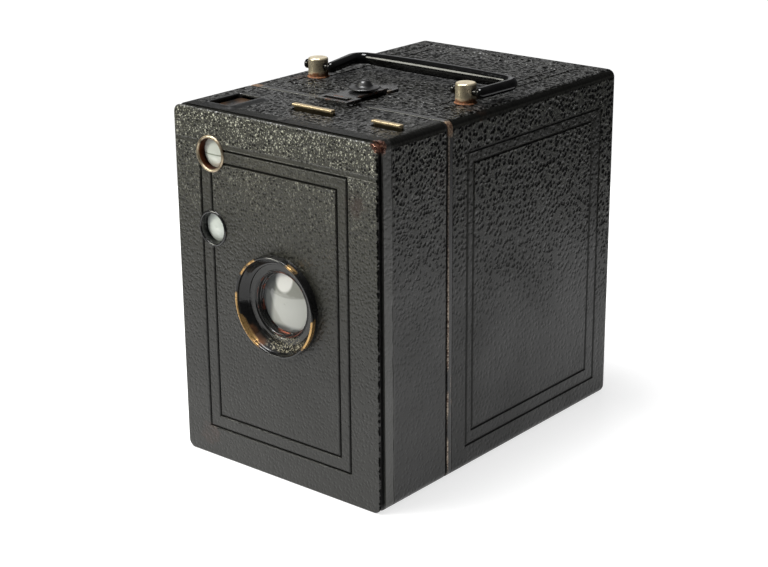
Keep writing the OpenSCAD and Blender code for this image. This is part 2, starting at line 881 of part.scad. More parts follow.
module strip_lip(x0, x1, d) {
    plate_z(x0, x1, d - 1, d + strip_t, top_z + strip_out - 0.7, top_z + strip_out);
}

module aperture_strip() {
    x0 = lens_x - stop_w / 2;
    x1 = lens_x + stop_w / 2;
    low = lens_z - 2 * stop_pitch - 7;
    color(brass) difference() {
        union() {
            plate_z(x0, x1, strip_d, strip_d + strip_t, low, top_z + strip_out);
            strip_lip(x0, x1, strip_d);
        }
        for (i = [0 : 2]) facing_front(lens_x, strip_d + 3, lens_z - i * stop_pitch)
            cylinder(r = stop_radii[i], h = 6, $fn = round_fn);
    }
}

module time_strip() {
    x0 = time_x - time_w / 2;
    x1 = time_x + time_w / 2;
    color(brass) {
        plate_z(x0, x1, time_d, time_d + strip_t, lens_z + 6, top_z + strip_out);
        strip_lip(x0, x1, time_d);
    }
}

module shutter_board() {
    color(black_metal) difference() {
        translate([-inner_w / 2, yf(board_d), mid_z - inner_h / 2]) cube([inner_w, board_t, inner_h]);
        facing_front(lens_x, board_d + 3, lens_z) cylinder(r = board_hole_r, h = 6, $fn = round_fn);
    }
}

module shutter_pins() {
    color(nickel) for (p = [[lens_x, disc_pivot_z, disc_pin_len],
            [lever_pivot_x, lever_pivot_z, lever_pin_len]])
        facing_front(p[0], board_d, p[1]) {
            cylinder(r = pivot_r, h = p[2], $fn = round_fn);
            translate([0, 0, p[2]]) cylinder(r = 2.2, h = 0.4, $fn = round_fn);
        }
}

module shutter_disc() {
    color([0.3, 0.3, 0.32]) facing_front(lens_x, disc_d + disc_t, disc_pivot_z) difference() {
        cylinder(r = disc_r, h = disc_t, $fn = 96);
        translate([0, 0, -1]) cylinder(r = pivot_r + run_play, h = 3, $fn = round_fn);
        rotate(90 + disc_rest) translate([disc_arm, 0, -1])
            cylinder(r = board_hole_r, h = 3, $fn = round_fn);
    }
}

module release_lever() {
    reach = -body_w / 2 - lever_tip - lever_pivot_x;
    color(nickel) facing_front(lever_pivot_x, disc_d + disc_t, lever_pivot_z) difference() {
        union() {
            cylinder(r = 2.8, h = disc_t, $fn = round_fn);
            translate([reach, -1.6, 0]) cube([-reach, 3.2, disc_t]);
            translate([reach, -2.4, 0]) cube([2, 4.8, disc_t]);
            translate([-1.2, -11, 0]) cube([2.4, 10, disc_t]);
        }
        translate([0, 0, -1]) cylinder(r = pivot_r + run_play, h = 3, $fn = round_fn);
    }
}

module lever_spring() {
    pitch = 2 * spring_wire_r + 0.05;
    color(nickel) facing_front(lever_pivot_x, disc_d - 0.4 - spring_wire_r, lever_pivot_z) {
        for (i = [0 : 2]) translate([0, 0, pitch * i]) rotate_extrude($fn = round_fn)
            translate([spring_coil_r, 0]) circle(spring_wire_r, $fn = 16);
        for (z = [0, 2 * pitch], s = z > 0 ? 1 : -1)
            translate([s * spring_coil_r, 0, z]) rotate([-90, 0, 0])
                cylinder(r = spring_wire_r, h = 9, $fn = 16);
    }
}

// ---- film carrier ----

module tapered_block(w0, h0, w1, h1, d0, d1) {
    hull() {
        translate([-w0 / 2 + lens_x, yf(d0), lens_z - h0 / 2]) cube([w0, 0.01, h0]);
        translate([-w1 / 2, yf(d1) - 0.01, mid_z - h1 / 2]) cube([w1, 0.01, h1]);
    }
}

module light_cone() {
    color(black_metal) difference() {
        tapered_block(cone_front_w + 2 * cone_t, cone_front_h + 2 * cone_t, frame_w + 2 + 2 * cone_t,
            frame_h + 2 + 2 * cone_t, board_back_d, gate_d);
        tapered_block(cone_front_w, cone_front_h, frame_w + 2.2, frame_h + 2.2,
            board_back_d - 0.5, gate_d + 0.5);
    }
}

module film_gate() {
    color(black_metal) difference() {
        translate([-carrier_in, yf(gate_d), mid_z - frame_h / 2 - 3])
            cube([2 * carrier_in, gate_t, frame_h + 6]);
        translate([-frame_w / 2, yf(gate_d) - 1, mid_z - frame_h / 2])
            cube([frame_w, gate_t + 2, frame_h]);
    }
}

module carrier_plate(side) {
    color(black_metal) difference() {
        translate([side > 0 ? carrier_in : -carrier_in - side_t, yf(board_back_d), mid_z - carrier_h / 2])
            cube([side_t, carrier_back_d - board_back_d, carrier_h]);
        for (p = roller_spots) along_x(-body_w, p[0], p[1])
            cylinder(r = journal_r + run_play, h = 2 * body_w, $fn = round_fn);
        for (p = spool_spots) along_x(-body_w, p[0], p[1])
            cylinder(r = pin_r, h = 2 * body_w, $fn = round_fn);
    }
}

module carrier_plate_left() {
    carrier_plate(-1);
}

module carrier_plate_right() {
    carrier_plate(1);
}

// Both right-hand pins and the supply spool's left-hand pin
module spool_pins() {
    color(nickel) {
        for (p = spool_spots) along_x(spool_len / 2 - pin_len, p[0], p[1])
            cylinder(r = pin_r, h = carrier_in + side_t - spool_len / 2 + pin_len, $fn = round_fn);
        along_x(-carrier_in - side_t, spool_spots[1][0], spool_spots[1][1])
            cylinder(r = pin_r, h = carrier_in + side_t - spool_len / 2 + pin_len, $fn = round_fn);
    }
}

// A leaf spring inside the left plate at each spool
module spool_springs() {
    color(brass) for (p = spool_spots) translate([-carrier_in, yf(p[0] + 6), p[1] - 5]) {
        cube([0.4, 14, 10]);
        translate([0.4, 9, 0]) cube([0.5, 5, 10]);
    }
}

module roller(p) {
    color(nickel) {
        along_x(-roller_len / 2, p[0], p[1]) cylinder(r = roller_r, h = roller_len, $fn = round_fn);
        along_x(-carrier_in - side_t, p[0], p[1])
            cylinder(r = journal_r, h = 2 * (carrier_in + side_t), $fn = round_fn);
    }
}

module upper_roller() {
    roller(roller_spots[0]);
}

module lower_roller() {
    roller(roller_spots[1]);
}

module spool(p) {
    along_x(-spool_len / 2, p[0], p[1]) difference() {
        union() {
            cylinder(r = core_r, h = spool_len, $fn = round_fn);
            cylinder(r = flange_r, h = flange_t, $fn = round_fn);
            translate([0, 0, spool_len - flange_t]) cylinder(r = flange_r, h = flange_t, $fn = round_fn);
        }
        translate([0, 0, -1]) cylinder(r = spool_bore_r, h = spool_len + 2, $fn = round_fn);
    }
}

module supply_spool() {
    color([0.45, 0.3, 0.18]) spool(spool_spots[1]);
}

module takeup_spool() {
    color([0.45, 0.3, 0.18]) spool(spool_spots[0]);
}

rear_shell();
shell_rim();
rear_leather();
base_leather();
back_leather();
red_window_ring();
red_window();
tripod_bush();
handle_post_left();
handle_post_right();
latch_foot();
key_bush();
key_sleeve();
key_shaft();
key_wing();
handle_wire();
handle_grip();
latch_strip();
latch_knob();
front_plate();
front_leather();
front_shell();
front_wrap_leather();
front_base_leather();
light_trap();
latch_catch();
lens_hood();
lens_barrel();
lens_ring();
front_lens();
upper_finder_ring();
lower_finder_ring();
upper_finder_lens();
lower_finder_lens();
upper_mirror();
lower_mirror();
upper_mirror_box();
lower_mirror_box();
top_window_frame();
side_window_frame();
top_window();
side_window();
aperture_guide();
aperture_strip();
time_strip();
shutter_board();
shutter_pins();
shutter_disc();
release_lever();
lever_spring();
light_cone();
film_gate();
carrier_plate_left();
carrier_plate_right();
spool_pins();
spool_springs();
upper_roller();
lower_roller();
supply_spool();
takeup_spool();
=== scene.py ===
"""Box camera: leather, enamel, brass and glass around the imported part."""
import json
import math

import bmesh
import bpy
from bpy.props import FloatProperty, FloatVectorProperty, IntProperty, PointerProperty
from mathutils import Matrix, Vector

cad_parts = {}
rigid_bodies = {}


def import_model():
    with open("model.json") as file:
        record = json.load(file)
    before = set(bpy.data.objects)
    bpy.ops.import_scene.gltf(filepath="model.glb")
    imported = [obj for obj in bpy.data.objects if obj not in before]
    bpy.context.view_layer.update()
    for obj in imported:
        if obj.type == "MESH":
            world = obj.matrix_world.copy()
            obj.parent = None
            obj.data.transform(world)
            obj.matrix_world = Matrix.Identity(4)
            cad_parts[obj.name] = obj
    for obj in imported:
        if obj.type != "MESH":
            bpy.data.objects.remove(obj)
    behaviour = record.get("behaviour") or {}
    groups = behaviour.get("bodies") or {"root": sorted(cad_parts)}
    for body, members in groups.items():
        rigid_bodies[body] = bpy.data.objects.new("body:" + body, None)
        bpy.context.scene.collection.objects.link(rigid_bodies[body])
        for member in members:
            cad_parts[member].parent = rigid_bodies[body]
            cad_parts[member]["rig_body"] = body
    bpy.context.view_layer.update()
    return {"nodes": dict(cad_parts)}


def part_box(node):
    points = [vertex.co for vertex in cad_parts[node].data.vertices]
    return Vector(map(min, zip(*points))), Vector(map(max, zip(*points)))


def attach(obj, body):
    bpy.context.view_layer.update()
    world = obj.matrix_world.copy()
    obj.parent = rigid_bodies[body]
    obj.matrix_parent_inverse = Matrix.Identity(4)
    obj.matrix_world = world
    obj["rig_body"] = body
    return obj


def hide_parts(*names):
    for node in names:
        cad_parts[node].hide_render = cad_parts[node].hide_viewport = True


bl_info = {
    "name": "Box Camera",
    "version": (1, 0, 0),
    "blender": (4, 5, 0),
    "location": "3D View > Sidebar > Box Camera",
    "description": "Builds the leather, metal and glass pieces of a box camera",
    "category": "Add Mesh",
}

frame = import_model()
NODES = frame["nodes"]

MM = 0.001
SQUARE_ON = 0.9995  # how nearly a face's normal must lie along a side to count as that side
CLOSE = 1e-7  # points nearer than this are one point
HOLE_DEPTH = 0.8  # part of a panel's thickness that a hole's wall goes down
UPPER_LINE = 102.6 * MM  # height of the smooth line under the front's worn band
VIEW_PLACE = (0.33901, -0.41824, 0.23589)
X, Y, Z = Vector((1, 0, 0)), Vector((0, 1, 0)), Vector((0, 0, 1))
FRONT_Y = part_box("front_leather")[0].y
LOW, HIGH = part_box("rear_leather")
REAR_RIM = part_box("shell_rim")
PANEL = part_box("front_leather")
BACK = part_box("back_leather")
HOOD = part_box("lens_hood")
TOP_Z = HIGH.z
LENS_X = (HOOD[0].x + HOOD[1].x) / 2
LENS_Z = (HOOD[0].z + HOOD[1].z) / 2


def behind_front(millimetres):
    """Y of a point that lies this far behind the front face."""
    return FRONT_Y + millimetres * MM


def middle(node):
    low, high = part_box(node)
    return (low + high) / 2


def radius(node):
    """Half the width of a round node."""
    low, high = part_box(node)
    return (high.x - low.x) / 2


def scaled(colour, factor):
    return [v * factor for v in colour]


# ---------------------------------------------------------------- settings


class BoxCameraSizes(bpy.types.PropertyGroup):
    """Sizes of the details that the looks add."""

    line_width: FloatProperty(
        name="Border Line Width", description="Width of an embossed border line",
        default=0.0011, min=0.0004, max=0.003, precision=5, unit="LENGTH")
    line_depth: FloatProperty(
        name="Border Line Depth", description="Depth of an embossed border line",
        default=0.00042, min=0.0001, max=0.0006, precision=5, unit="LENGTH")
    grain_size: FloatProperty(
        name="Leather Grain", description="Width of one pebble of the leather's grain",
        default=0.0012, min=0.0004, max=0.003, precision=5, unit="LENGTH")
    grain_height: FloatProperty(
        name="Grain Height", description="Height of the leather's pebbles",
        default=0.0002, min=0.0, max=0.0005, precision=5, unit="LENGTH")
    edge_radius: FloatProperty(
        name="Cover Edge Radius", description="Radius of the covered body edges",
        default=0.0026, min=0.001, max=0.004, precision=4, unit="LENGTH")
    turned_steps: IntProperty(
        name="Turned Steps", description="Facets round a turned piece",
        default=112, min=24, max=256)


class BoxCameraColours(bpy.types.PropertyGroup):
    """Colours of the finishes."""

    leather: FloatVectorProperty(
        name="Leather", description="Base colour of the black leather covering",
        default=(0.0132, 0.013, 0.0102), size=3, min=0, max=1, subtype="COLOR")
    enamel: FloatVectorProperty(
        name="Enamel", description="Colour of the black enamel",
        default=(0.006, 0.006, 0.006), size=3, min=0, max=1, subtype="COLOR")
    bare_brass: FloatVectorProperty(
        name="Bare Brass", description="Brass that shows where the enamel has worn off",
        default=(0.62, 0.42, 0.18), size=3, min=0, max=1, subtype="COLOR")
    nickel: FloatVectorProperty(
        name="Nickel", description="Worn nickel plate",
        default=(0.62, 0.585, 0.52), size=3, min=0, max=1, subtype="COLOR")


class BoxCameraStage(bpy.types.PropertyGroup):
    """The floor, the lights and the camera."""

    lens: FloatProperty(
        name="Focal Length", description="Focal length of the view's camera in millimetres",
        default=82.23, min=20, max=300)
    turn: FloatProperty(
        name="Turn", description="Turn of the camera round the vertical",
        default=math.radians(39.73), subtype="ANGLE", unit="ROTATION")
    tilt: FloatProperty(
        name="Tilt", description="Tilt of the camera up from straight down",
        default=math.radians(70.69), subtype="ANGLE", unit="ROTATION")
    roll: FloatProperty(
        name="Roll", description="Roll of the camera",
        default=math.radians(-0.46), subtype="ANGLE", unit="ROTATION")
    floor_radius: FloatProperty(
        name="Floor Radius", description="Radius of the round white table top",
        default=0.3, min=0.2, max=5, unit="LENGTH")
    key_power: FloatProperty(
        name="Key Light", description="Power of the overhead soft box",
        default=21.0, min=0, max=400, unit="POWER")
    fill_power: FloatProperty(
        name="Fill Light", description="Power of the small soft box at the left",
        default=9.0, min=0, max=400, unit="POWER")
    back_power: FloatProperty(
        name="Back Light", description="Power of the wide soft box behind",
        default=0.75, min=0, max=400, unit="POWER")


def sizes():
    return bpy.context.scene.box_camera_sizes


def colours():
    return bpy.context.scene.box_camera_colours


# ---------------------------------------------------------------- node helpers

WHITE = (1.0, 1.0, 1.0)
DEEP_BLACK = (0.0012, 0.0012, 0.0012)
RUBBED_BROWN, RUBBED_COPPER = (0.07, 0.026, 0.017), (0.42, 0.23, 0.16)
SMOOTH_STRIP = (0.065, 0.065, 0.06)
# Pale grey painted highlight on the pebble tops of the top faces.
TOP_HIGHLIGHT_FLECK = (0.4, 0.4, 0.405)


class Shader:
    """A material's node tree, with one short call for each kind of node."""

    def __init__(self, name):
        self.material = bpy.data.materials.new(name)
        self.material.use_nodes = True
        self.tree = self.material.node_tree
        self.tree.nodes.clear()
        self.surface = self.node("BsdfPrincipled")
        self.tree.links.new(self.surface.outputs[0], self.node("OutputMaterial").inputs["Surface"])
        self.place = self.node("TexCoord").outputs["Object"]
        self._xyz = None

    def node(self, kind):
        return self.tree.nodes.new("ShaderNode" + kind)

    def put(self, socket, value):
        if isinstance(value, bpy.types.NodeSocket):
            self.tree.links.new(value, socket)
        elif hasattr(value, "__len__") and len(value) == 3 and socket.type == "RGBA":
            socket.default_value = (*value, 1.0)
        else:
            socket.default_value = value

    def set(self, **inputs):
        for name, value in inputs.items():
            self.put(self.surface.inputs[name.replace("_", " ")], value)
        return self

    def xyz(self):
        if self._xyz is None:
            node = self.node("SeparateXYZ")
            self.put(node.inputs[0], self.place)
            self._xyz = node
        return self._xyz.outputs

    def math(self, operation, a, b=0.0, c=0.0, clamp=False):
        node = self.node("Math")
        node.operation = operation
        node.use_clamp = clamp
        for socket, value in zip(node.inputs, (a, b, c)):
            self.put(socket, value)
        return node.outputs[0]

    def fold(self, operation, values, clamp=False):
        """Joins values one after another; only the last result is clamped."""
        total = values[0]
        for i, value in enumerate(values[1:], 2):
            total = self.math(operation, total, value, clamp=clamp and i == len(values))
        return total

    def times(self, *values, clamp=False):
        return self.fold("MULTIPLY", values, clamp)

    def plus(self, *values):
        return self.fold("ADD", values)

    def minus(self, a, b):
        return self.math("SUBTRACT", a, b)

    def most(self, *values):
        return self.fold("MAXIMUM", values)

    def size(self, value):
        return self.math("ABSOLUTE", value)

    def gap(self, a, b):
        """How far apart two values are."""
        return self.size(self.minus(a, b))

    def swing(self, noise, width):
        """Noise between 0 and 1 as a spread round 0."""
        return self.times(self.minus(noise, 0.5), width)

    def vector(self, operation, a, b=(0.0, 0.0, 0.0), scale=None):
        node = self.node("VectorMath")
        node.operation = operation
        self.put(node.inputs[0], a)
        self.put(node.inputs[1], b)
        if scale is not None:
            self.put(node.inputs["Scale"], scale)
        return node.outputs["Value"] if operation in ("LENGTH", "DISTANCE") else node.outputs["Vector"]

    def noise(self, scale, detail=2.0, roughness=0.5, place=None, distortion=0.0, colour=False):
        node = self.node("TexNoise")
        for name, value in (("Vector", place or self.place), ("Scale", scale), ("Detail", detail),
                            ("Roughness", roughness), ("Distortion", distortion)):
            self.put(node.inputs[name], value)
        return node.outputs["Color" if colour else "Fac"]

    def cells(self, scale, feature="DISTANCE_TO_EDGE", place=None, output="Distance"):
        node = self.node("TexVoronoi")
        node.feature = feature
        self.put(node.inputs["Vector"], place or self.place)
        self.put(node.inputs["Scale"], scale)
        return node.outputs[output]

    def step(self, value, low, high, to_low=0.0, to_high=1.0):
        """Smooth change from to_low to to_high as value goes from low to high."""
        node = self.node("MapRange")
        node.interpolation_type = "SMOOTHSTEP"
        for name, v in (("Value", value), ("From Min", low), ("From Max", high),
                        ("To Min", to_low), ("To Max", to_high)):
            self.put(node.inputs[name], v)
        return node.outputs[0]

    def between(self, data_type, socket_type, factor, a, b):
        node = self.node("Mix")
        node.data_type = data_type
        self.put(node.inputs["Factor"], factor)
        for name, value in (("A", a), ("B", b)):
            self.put([s for s in node.inputs if s.name == name and s.type == socket_type][0], value)
        return [s for s in node.outputs if s.type == socket_type][0]

    def mix(self, factor, a, b):
        """Colour a where factor is 0, colour b where it is 1."""
        return self.between("RGBA", "RGBA", factor, a, b)

    def blend(self, factor, a, b):
        """Value a where factor is 0, value b where it is 1."""
        return self.between("FLOAT", "VALUE", factor, a, b)

    def bump(self, height, distance, strength=1.0):
        node = self.node("Bump")
        for name, value in (("Strength", strength), ("Distance", distance), ("Height", height)):
            self.put(node.inputs[name], value)
        return node.outputs[0]

    def attribute(self, name):
        node = self.node("Attribute")
        node.attribute_name = name
        return node.outputs["Fac"]

    def near(self, point, reach, ragged=0.35, scale=900.0):
        """1 at a point, 0 beyond reach, with a ragged outline."""
        away = self.vector("DISTANCE", self.place, point)
        rough = self.swing(self.noise(scale, 3.0), reach * ragged * 2)
        return self.step(self.plus(away, rough), reach * 1.1, reach * 0.7)


# ---------------------------------------------------------------- materials


def leather_material(name, grain, height, tone=1.0, pit_shade=1.0, highlight_flecks=0.6, gloss=0.36, groove_shade=0.95,
                     top_highlight_flecks=0.75, painted_top_light=1.0, spots=False, smooth_front=None, dark_edge=None, worn=(),
                     stains=(), fade=(0.028, 0.105), shine=0.42):
    """Black grained leather. grain is the size of its cells in metres. Painted shade in the grain's hollows
    and pale painted highlights on the pebble tops are strongest high up; groove_shade is how dark the painted
    shade in the embossed borders is, and painted_top_light scales the painted light that brightens the upper
    leather over the darker lower part."""
    s = Shader(name)
    warp = s.vector("SCALE", s.vector("SUBTRACT", s.noise(0.45 / grain, 3.0, colour=True), (0.5, 0.5, 0.5)),
                    scale=grain * 0.8)
    place = s.vector("ADD", s.place, warp)
    crease = s.cells(1.0 / grain, "DISTANCE_TO_EDGE", place)
    dome = s.cells(1.0 / grain, "F1", place)
    chance = s.math("FRACT", s.times(s.vector("LENGTH", s.cells(1.0 / grain, "F1", place, "Color")), 5.0))
    fine = s.noise(3.2 / grain, 3.0, 0.6)
    broad = s.noise(42.0, 4.0, 0.55)
    patch = s.noise(160.0, 3.0, 0.6)
    x, y, z = s.xyz()
    lean = s.plus(z, s.times(y, 0.28))
    lean = s.plus(lean, s.swing(broad, 0.05))
    amount = s.step(lean, *fade, 0.06, 1.0)
    top = s.step(z, TOP_Z - 0.0007, TOP_Z - 0.0002)
    groove = s.attribute("groove")
    amount = s.times(amount, s.step(groove, 0.0, 0.7, 1.0, 0.2))
    amount = s.times(amount, s.step(s.attribute("flat"), 0.3, 0.9, 1.0, 0.4))
    corner = s.plus(s.size(x), z)
    if spots:
        amount = s.times(amount, s.step(s.gap(z, UPPER_LINE), 0.5 * MM, 1.0 * MM, 0.15, 1.0))
    else:
        amount = s.times(amount,
                         s.step(corner, HIGH.x + TOP_Z - 2.9 * MM, HIGH.x + TOP_Z - 2.2 * MM, 1.0, 0.12))
        amount = s.most(amount, top)
    line = None
    if smooth_front is not None:
        wander = s.swing(s.noise(120.0, 2.0), 0.0007)
        along = s.plus(y, wander)
        band = s.step(along, smooth_front - 0.0002, smooth_front + 0.0009)
        side = s.step(x, 0.0352, 0.0362, 1.0, 0.25)
        upper = s.step(z, TOP_Z - 0.0009, TOP_Z - 0.0004)
        amount = s.times(amount, s.blend(band, 0.08, 1.0))
        amount = s.times(amount, s.blend(upper, 1.0, side))
        off = s.gap(along, smooth_front)
        line = s.step(off, 0.00006, 0.00032, 1.0, 0.0)
        smooth_top = s.times(s.minus(1.0, band), top)
    reach = s.plus(dome, s.swing(fine, 0.5))
    # Painted shade: the grain's hollows are darkened to black, and made metallic, where they would lie in
    # shade.
    shaded_pit = s.times(s.step(reach, *((0.5, 0.28) if spots else (0.57, 0.36))),
                  s.step(chance, *((0.55, 0.42) if spots else (0.92, 0.8))))
    shaded_pit = s.times(shaded_pit, amount, pit_shade, clamp=True)
    # Painted highlight: pale specks on pebble tops and beside creases stand for glints of the lamps,
    # brightest near the top edge of the front.
    curls = s.noise(2.1 / grain, 3.0, 0.6)
    if spots:
        glint = s.plus(reach, s.swing(s.noise(5.5 / grain, 2.0), 0.7))
        fleck = s.times(s.step(glint, 0.36, 0.18), s.step(chance, 0.5, 0.75), 0.8)
        fleck = s.most(fleck, s.times(s.step(crease, 0.16, 0.05), s.step(curls, 0.54, 0.64)))
    else:
        fleck = s.times(s.step(crease, 0.2, 0.08), s.step(curls, 0.5, 0.62))
    fleck = s.times(fleck, s.times(amount, amount), s.blend(top, highlight_flecks, top_highlight_flecks), clamp=True)
    if spots:
        fleck = s.times(fleck, s.step(z, 0.094, 0.104, 0.45, 1.0))
        fleck = s.times(fleck, s.step(z, 0.105, 0.111, 1.0, 1.35), clamp=True)
    ridge = s.times(s.step(dome, 0.15, 0.6), s.blend(amount, 0.22, 1.0))
    relief = s.plus(ridge, s.times(fine, s.blend(amount, 0.2, 0.45)))
    c = colours()
    base = scaled(c.leather, tone)
    colour = s.mix(s.step(crease, 0.0, 0.16), scaled(base, 1.5), base)
    colour = s.mix(s.step(patch, 0.5, 0.8, 0.0, 0.5), colour, scaled(base, 1.7))
    colour = s.mix(s.step(broad, 0.52, 0.78, 0.0, 0.5), colour,
                   [base[0] * 1.6, base[1] * 1.5, base[2] * 1.35])
    # Painted light and shade: darker towards the bottom, and scaled by painted_top_light towards the top.
    colour = s.mix(s.step(z, 0.03, TOP_Z - 0.001), scaled(base, 0.5),
                   s.vector("SCALE", colour, scale=painted_top_light))
    colour = s.mix(fleck, colour,
                   s.mix(top, (0.66, 0.66, 0.53) if spots else (0.34, 0.345, 0.29), TOP_HIGHLIGHT_FLECK))
    # Painted shade: border grooves darkened by groove_shade, creases on the top darkened, and a dark line
    # along the rounded top edge.
    groove_shade = s.blend(top, groove_shade, 0.9)
    dark = s.most(shaded_pit, s.times(s.step(groove, 0.3, 0.95), groove_shade))
    if not spots:
        dark = s.most(dark, s.times(s.step(crease, 0.16, 0.04), top, 0.6))
        dark = s.most(dark, s.step(corner, HIGH.x + TOP_Z - 2.1 * MM, HIGH.x + TOP_Z - 1.7 * MM, 0.0, 0.6))
    if line is not None:
        strip = s.times(s.minus(1.0, band), s.minus(1.0, top))
        colour = s.mix(strip, colour, SMOOTH_STRIP)
        relief = s.minus(relief, s.times(line, 0.8))
        # Painted shade in the thin groove at the smooth band's edge.
        dark = s.most(dark, s.times(line, s.step(patch, 0.4, 0.6, 0.1, 0.7)))
        dark = s.most(dark, s.times(smooth_top, 0.65))
    if dark_edge is not None:
        ticks = s.noise(900.0, 2.0, 0.5, s.vector("MULTIPLY", s.place, (0.6, 0.6, 1.0)))
        past = s.plus(x, s.swing(ticks, 0.0026))
        dark = s.most(dark, s.step(past, dark_edge - 0.0001, dark_edge + 0.0001, 0.0, 0.95))
    rough = s.plus(s.step(fine, 0.3, 0.8, gloss - 0.05, gloss + 0.1), s.step(broad, 0.3, 0.7, -0.05, 0.07))
    rough = s.plus(rough, s.times(dark, 0.25))
    for point, reach, tint in stains:
        mask = s.times(s.near(point, reach, 0.8, 500.0), s.step(patch, 0.35, 0.65, 0.1, 0.7))
        colour = s.mix(mask, colour, tint)
    # The painted shade and the dark marks go to deep black, and metallic so that they reflect little.
    metal = dark
    colour = s.mix(dark, colour, DEEP_BLACK)
    for point, reach in worn:
        mask = s.near(point, reach, 0.5, 700.0)
        spot = s.step(s.noise(1000.0, 3.0), 0.5, 0.66)
        colour = s.mix(mask, colour, s.mix(spot, RUBBED_BROWN, RUBBED_COPPER))
        rough = s.blend(mask, rough, 0.27)
        metal = s.blend(mask, metal, 0.75)
        relief = s.blend(mask, relief, s.times(fine, 0.9))
    s.set(Base_Color=colour, Roughness=rough, Metallic=metal,
          Normal=s.bump(relief, height, 1.0), IOR=1.5, Specular_IOR_Level=shine)
    return s.material


def enamel_material(name, wear=0.0, under=None, gloss=0.16, tone=1.0, worn=(), shine=0.6):
    """Black enamel that has worn through to the metal under it on edges and in chips."""
    s = Shader(name)
    c = colours()
    under = under or c.bare_brass
    speck = s.noise(900.0, 4.0, 0.65)
    blotch = s.noise(230.0, 3.0, 0.6)
    base = scaled(c.enamel, tone)
    colour = s.mix(s.step(blotch, 0.45, 0.75, 0.0, 0.6), base, scaled(base, 2.2))
    rough = s.step(speck, 0.35, 0.7, gloss, gloss + 0.14)
    height = s.times(s.noise(1600.0, 2.0), 0.25)
    metal = 0.0
    if wear:
        shown = s.step(s.times(s.attribute("edge"), s.step(blotch, 0.52 - 0.2 * wear, 0.66)), 0.25, 0.5)
        colour = s.mix(shown, colour, s.mix(speck, scaled(under, 0.4), under))
        rough = s.blend(shown, rough, 0.36)
        metal = s.times(shown, 0.85)
        height = s.minus(height, shown)
    for point, reach in worn:
        mask = s.near(point, reach, 0.5, 700.0)
        colour = s.mix(mask, colour, s.mix(speck, (0.09, 0.032, 0.02), (0.36, 0.2, 0.15)))
        metal = s.most(metal, s.times(mask, 0.75))
    s.set(Base_Color=colour, Roughness=rough, Metallic=metal,
          Normal=s.bump(height, 0.00003), IOR=1.5, Specular_IOR_Level=shine)
    return s.material


def hood_material(name):
    """Glossy black enamel, rubbed to brass on parts of the rolled rim and speckled low in the funnel."""
    s = Shader(name)
    c = colours()
    x, y, z = s.xyz()
    across = s.minus(x, LENS_X)
    above = s.minus(z, LENS_Z)
    turn = s.times(s.math("ARCTAN2", above, across), 180.0 / math.pi)
    out = s.math("SQRT", s.plus(s.times(across, across), s.times(above, above)))
    speck = s.noise(1000.0, 4.0, 0.65)
    blotch = s.noise(330.0, 3.0, 0.6)
    ragged = s.plus(turn, s.swing(blotch, 26.0))
    patches = None
    for middle_turn, half in ((141.0, 5.5), (124.0, 7.0), (62.0, 4.5), (-21.0, 19.0), (-149.0, 32.0),
                              (178.0, 4.0)):
        near = s.step(s.gap(ragged, middle_turn), half + 3.0, half - 3.0)
        patches = near if patches is None else s.most(patches, near)
    wide = s.times(s.step(s.size(s.plus(ragged, 138.0)), 24.0, 8.0), 0.8 * MM)
    rim = s.times(s.step(s.plus(out, wide), 14.8 * MM, 14.95 * MM), s.step(out, 15.78 * MM, 15.6 * MM))
    rim = s.times(rim, s.step(y, FRONT_Y - 1.0 * MM, FRONT_Y - 1.6 * MM))
    shown = s.times(rim, patches, s.step(speck, 0.3, 0.44))
    low = s.times(s.step(above, -8.2 * MM, -11.0 * MM), s.step(across, -7.0 * MM, 1.0 * MM))
    low = s.times(low, s.step(out, 14.4 * MM, 14.0 * MM))
    specks = s.times(low, s.step(s.noise(1900.0, 3.0, 0.6), 0.5, 0.6), 0.75)
    stain = s.times(s.step(s.size(s.plus(ragged, 128.0)), 20.0, 8.0),
                    s.step(out, 12.9 * MM, 14.4 * MM))
    colour = s.mix(s.step(blotch, 0.45, 0.75, 0.0, 0.6), c.enamel, scaled(c.enamel, 2.4))
    colour = s.mix(s.times(stain, s.step(blotch, 0.4, 0.6, 0.35, 0.8)), colour, (0.14, 0.06, 0.024))
    dull = s.times(s.step(s.size(s.plus(turn, 108.0)), 26.0, 16.0),
                   s.times(s.step(out, 11.4 * MM, 11.9 * MM), s.step(out, 14.7 * MM, 14.4 * MM)))
    dull = s.times(dull, s.minus(1.0, specks))
    colour = s.mix(specks, colour, (0.36, 0.33, 0.24))
    colour = s.mix(shown, colour, s.mix(speck, (0.3, 0.15, 0.05), c.bare_brass))
    rough = s.blend(specks, s.step(speck, 0.35, 0.7, 0.09, 0.24), 0.45)
    rough = s.blend(dull, rough, 0.55)
    height = s.plus(s.times(s.noise(1600.0, 2.0), 0.25), s.times(specks, 0.6))
    s.set(Base_Color=colour, Roughness=s.blend(shown, rough, 0.3),
          Metallic=s.most(s.times(shown, 0.85), s.times(dull, 0.8)),
          Normal=s.bump(s.minus(height, shown), 0.00003), IOR=1.5, Specular_IOR_Level=0.4)
    return s.material


